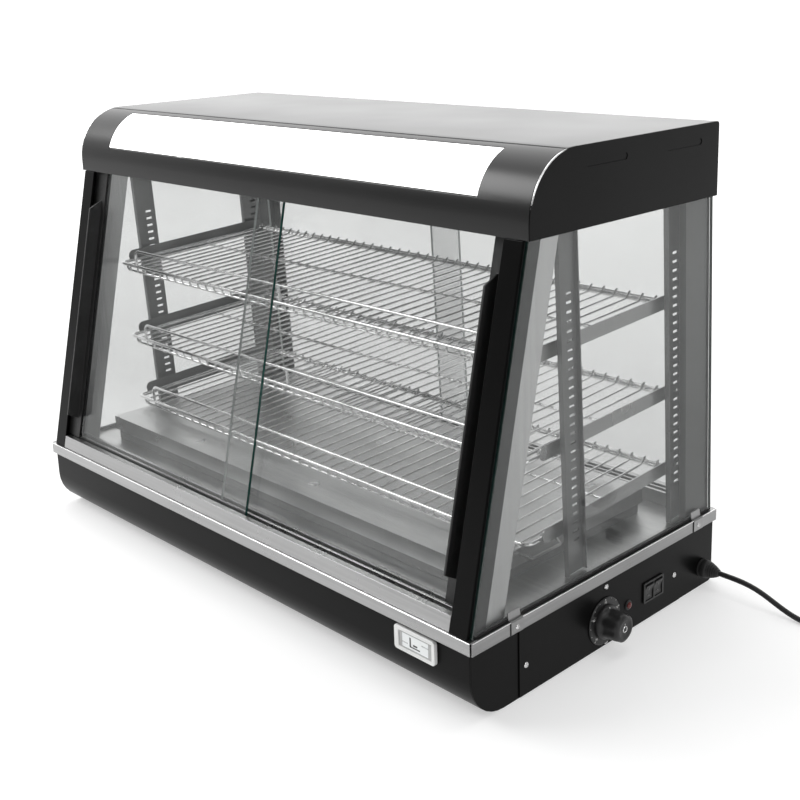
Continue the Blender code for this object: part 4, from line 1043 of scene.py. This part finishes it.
def build_rockers():
    """The switch frame, and rockers that keep their shape, marked with a dash and a ring."""
    refined("rocker_frame", PLASTIC, 0.0004)
    for name in ("lamp", "heat"):
        node = "rocker_" + name
        refined(node, PLASTIC, 0.0005)
        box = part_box(node)
        y, z = (box[0].y + box[1].y) / 2, (box[0].z + box[1].z) / 2
        tilt = Matrix.Rotation(math.radians(8.0), 4, "Y")
        pivot = Matrix.Translation((0.4440, y, z)) @ tilt
        turn = Matrix(((0, 0, 1, 0), (1, 0, 0, 0), (0, 1, 0, 0), (0, 0, 0, 1)))
        marks = bmesh.new()
        add_box(marks, (0.00380, -0.0004, 0.0036), (0.00425, 0.0004, 0.0070), pivot)
        ring = pivot @ Matrix.Translation((0.00415, 0.0, -0.0055)) @ turn
        loop = [ring @ on_circle(0.0016, angle) for angle in turns(20)]
        add_tube(marks, loop, 0.0003, 6, closed=True)
        piece_from(node + "_marks", marks, FAINT_PRINT, body_of_node(node))


def build_thermometer():
    """The thermometer: its case, a pale sunk face with grey ends that paint the shade of its sunk sides,
    a bracket mark and fine scale lines.
    """
    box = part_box("thermometer")
    refined("thermometer", WHITE, 0.0007)
    low_x, high_x = box[0].x + 0.007, box[1].x - 0.005
    low_z, high_z = box[0].z + 0.005, box[1].z - 0.005
    front = box[0].y + 0.0015

    def sunk(inset):
        across, up = (low_x + inset, high_x - inset), (low_z + inset, high_z - inset)
        return rounded_rectangle(across, up, 0.0016 - inset / 2)

    def slab(start, end):
        return lambda p, side: Vector((p[0], front - start - (end - start) * side, p[1]))

    def add_mark(work, x, z, rise):
        add_box(work, (x[0], front - rise, z[0]), (x[1], front - 0.0004, z[1]))

    work = bmesh.new()
    add_frame(work, sunk(0.0004), sunk(0.0012), slab(0.0001, 0.0010))
    piece_from("gauge_lip", work, GAUGE_GREY, CASE, (), 40.0, 0.0002)
    work = bmesh.new()
    add_prism(work, sunk(0.0012), slab(0.0001, 0.0004))
    piece_from("gauge_face", work, DISPLAY, CASE, (), 40.0)

    x, z = (low_x + high_x) / 2, (low_z + high_z) / 2
    left, right, low, high = x - 0.0085, x + 0.0075, z - 0.0058, z + 0.0058
    marks = bmesh.new()
    add_mark(marks, (left, left + 0.0016), (low, high), 0.0007)
    add_mark(marks, (left, right), (low, low + 0.0012), 0.0007)
    # painted shade: grey strips at both ends of the face for the shaded sides of the recess
    ends = bmesh.new()
    for start in (low_x + 0.0012, high_x - 0.0052):
        add_mark(ends, (start, start + 0.0040), (low_z + 0.0012, high_z - 0.0012), 0.0007)
    piece_from("gauge_ends", ends, GAUGE_GREY, CASE, (), 40.0, 0.0001)
    add_mark(marks, (x - 0.0030, x + 0.0034), (z - 0.0030, z - 0.0012), 0.0006)
    for index in range(9):
        line = low_x + 0.0040 + index * 0.0012
        add_mark(marks, (line, line + 0.0003), (z - 0.0036, z - 0.0022), 0.0005)
        line = high_x - 0.0040 - index * 0.0014
        add_mark(marks, (line - 0.0004, line), (z + 0.0016, z + 0.0032), 0.0005)
    piece_from("gauge_marks", marks, INK, CASE, (), 40.0)


NOSE_R = 0.073
NOSE_STEPS = 36
FOLD = math.radians(9.0)


def build_canopy_edges():
    """A painted highlight: a bright line round each end of the nose, and a black strip of painted shade
    along the fold above the lamp.
    """
    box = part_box("canopy_end_right")
    centre = (box[0].y + NOSE_R, box[1].z - NOSE_R)
    path = arc(centre, NOSE_R - 0.0006, 170, 96, NOSE_STEPS)
    radii = []
    for step in range(NOSE_STEPS + 1):
        swell = math.sin(math.pi * step / NOSE_STEPS) ** 0.5
        radii.append(0.0010 * (0.25 + 0.75 * swell))
    for name, side in SIDES.items():
        work = bmesh.new()
        x = side * (box[1].x - 0.0006)
        add_tube(work, [(x, y, z) for y, z in path], radii, 8)
        piece_from("nose_edge_" + name, work, PAINTED_HIGHLIGHT_EDGE, CASE, (), 60.0)
    # painted shade: a black strip laid along the fold above the lamp
    work = bmesh.new()
    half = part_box("canopy_cover")[1].x
    outline = [(-0.0012, 0.0), (-0.0010, 0.00015), (0.0010, 0.00015), (0.0012, 0.0)]
    outline += [(0.0010, -0.0003), (-0.0010, -0.0003)]
    fold_y = box[0].y + NOSE_R * (1 - math.sin(FOLD))
    fold_z = box[1].z - NOSE_R * (1 - math.cos(FOLD))

    def place(point, end):
        rise = point[1] + math.tan(FOLD) * point[0]
        return Vector(((2 * end - 1) * half, fold_y + point[0], fold_z + rise))

    add_prism(work, outline, place)
    piece_from("canopy_fold", work, SEAL_AND_SHADE, CASE, (), 30.0)


dress_sheet_metal()
dress_panes()
for shelf_level in LEVELS:
    build_wire_shelf(shelf_level)
build_side_screws()
build_trim_clips()
build_seals()
build_lamp()
build_dial()
build_knob()
build_pilot()
build_rockers()
build_thermometer()
build_canopy_edges()


# ---------------------------------------------------------------- floor, light and air
def build_floor():
    """A seamless pale studio floor, whiter far behind the case and darker far in front of it."""
    work = bmesh.new()
    corners = ((-1, -1), (1, -1), (1, 1), (-1, 1))
    work.faces.new([work.verts.new((x * FLOOR_HALF, y * FLOOR_HALF, 0.0)) for x, y in corners])
    mesh = bpy.data.meshes.new("studio_floor")
    work.to_mesh(mesh)
    work.free()
    shader = Shader("studio_floor").set(Roughness=0.9, Specular_IOR_Level=0.1)
    shader.set(Emission_Color=grey(1.0))
    distance = shader.node("ShaderNodeVectorMath", operation="LENGTH")
    shader.link(shader.place, distance.inputs[0])
    behind = shader.node("ShaderNodeVectorMath", operation="DOT_PRODUCT")
    behind.inputs[1].default_value = (-0.25, 0.97, 0.0)
    shader.link(shader.place, behind.inputs[0])
    far_glow = shader.ranged(behind.outputs["Value"], 0.0, FAR_FLOOR_GLOW, -2.2, -0.6)
    glow = shader.node("ShaderNodeMix")
    glow.inputs["A"].default_value = FLOOR_GLOW
    away = shader.ranged(distance.outputs["Value"], 0.0, 1.0, 0.9, 2.6)
    shader.link(away, glow.inputs["Factor"])
    shader.link(far_glow, glow.inputs["B"])
    shader.drive("Emission Strength", glow.outputs["Result"])
    shader.drive("Base Color", shader.mixed(shader.noise(3.0), grey(0.58), grey(0.60)))
    mesh.materials.append(shader.material)
    floor = bpy.data.objects.new("studio_floor", mesh)
    floor.location = (0.0, 0.0, -0.0002)
    SCENE.collection.objects.link(floor)


def add_softbox(name, location, target, size, power):
    light = bpy.data.lights.new(name, "AREA")
    light.shape = "RECTANGLE"
    light.size, light.size_y = size
    light.energy = power
    lamp = bpy.data.objects.new(name, light)
    lamp.location = location
    away = Vector(target) - Vector(location)
    lamp.rotation_euler = away.to_track_quat("-Z", "Y").to_euler()
    SCENE.collection.objects.link(lamp)


def build_air():
    """Even white air, brighter low down behind the case, so that its top shines."""
    world = bpy.data.worlds.new("studio")
    world.use_nodes = True
    tree = world.node_tree
    background = tree.nodes["Background"]
    background.inputs["Color"].default_value = (1.0, 1.0, 1.0, 1.0)
    place = tree.nodes.new("ShaderNodeTexCoord")
    dot = tree.nodes.new("ShaderNodeVectorMath")
    dot.operation = "DOT_PRODUCT"
    dot.inputs[1].default_value = Vector((-0.70, 0.67, 0.10)).normalized()
    tree.links.new(place.outputs["Generated"], dot.inputs[0])
    spread = tree.nodes.new("ShaderNodeMapRange")
    spread.interpolation_type = "SMOOTHSTEP"
    spread.inputs["From Min"].default_value = 0.05
    spread.inputs["From Max"].default_value = 0.93
    spread.inputs["To Min"].default_value = AIR
    spread.inputs["To Max"].default_value = AIR_BEHIND
    tree.links.new(dot.outputs["Value"], spread.inputs["Value"])
    tree.links.new(spread.outputs["Result"], background.inputs["Strength"])
    SCENE.world = world


AIR = 0.32
AIR_BEHIND = 1.95
FLOOR_HALF = 16.0
FLOOR_GLOW = 0.45
FAR_FLOOR_GLOW = 0.80
build_floor()
build_air()
add_softbox("key_softbox", (-1.85, -1.6, 2.3), (0.0, 0.0, 0.3), (1.9, 1.5), 58.0)
add_softbox("side_softbox", (3.0, -0.4, 1.8), (0.2, 0.0, 0.3), (1.6, 1.6), 18.0)
add_softbox("top_softbox", (0.0, 0.3, 3.2), (0.0, 0.0, 0.0), (2.6, 2.0), 34.0)

SCENE.view_settings.view_transform = "Standard"
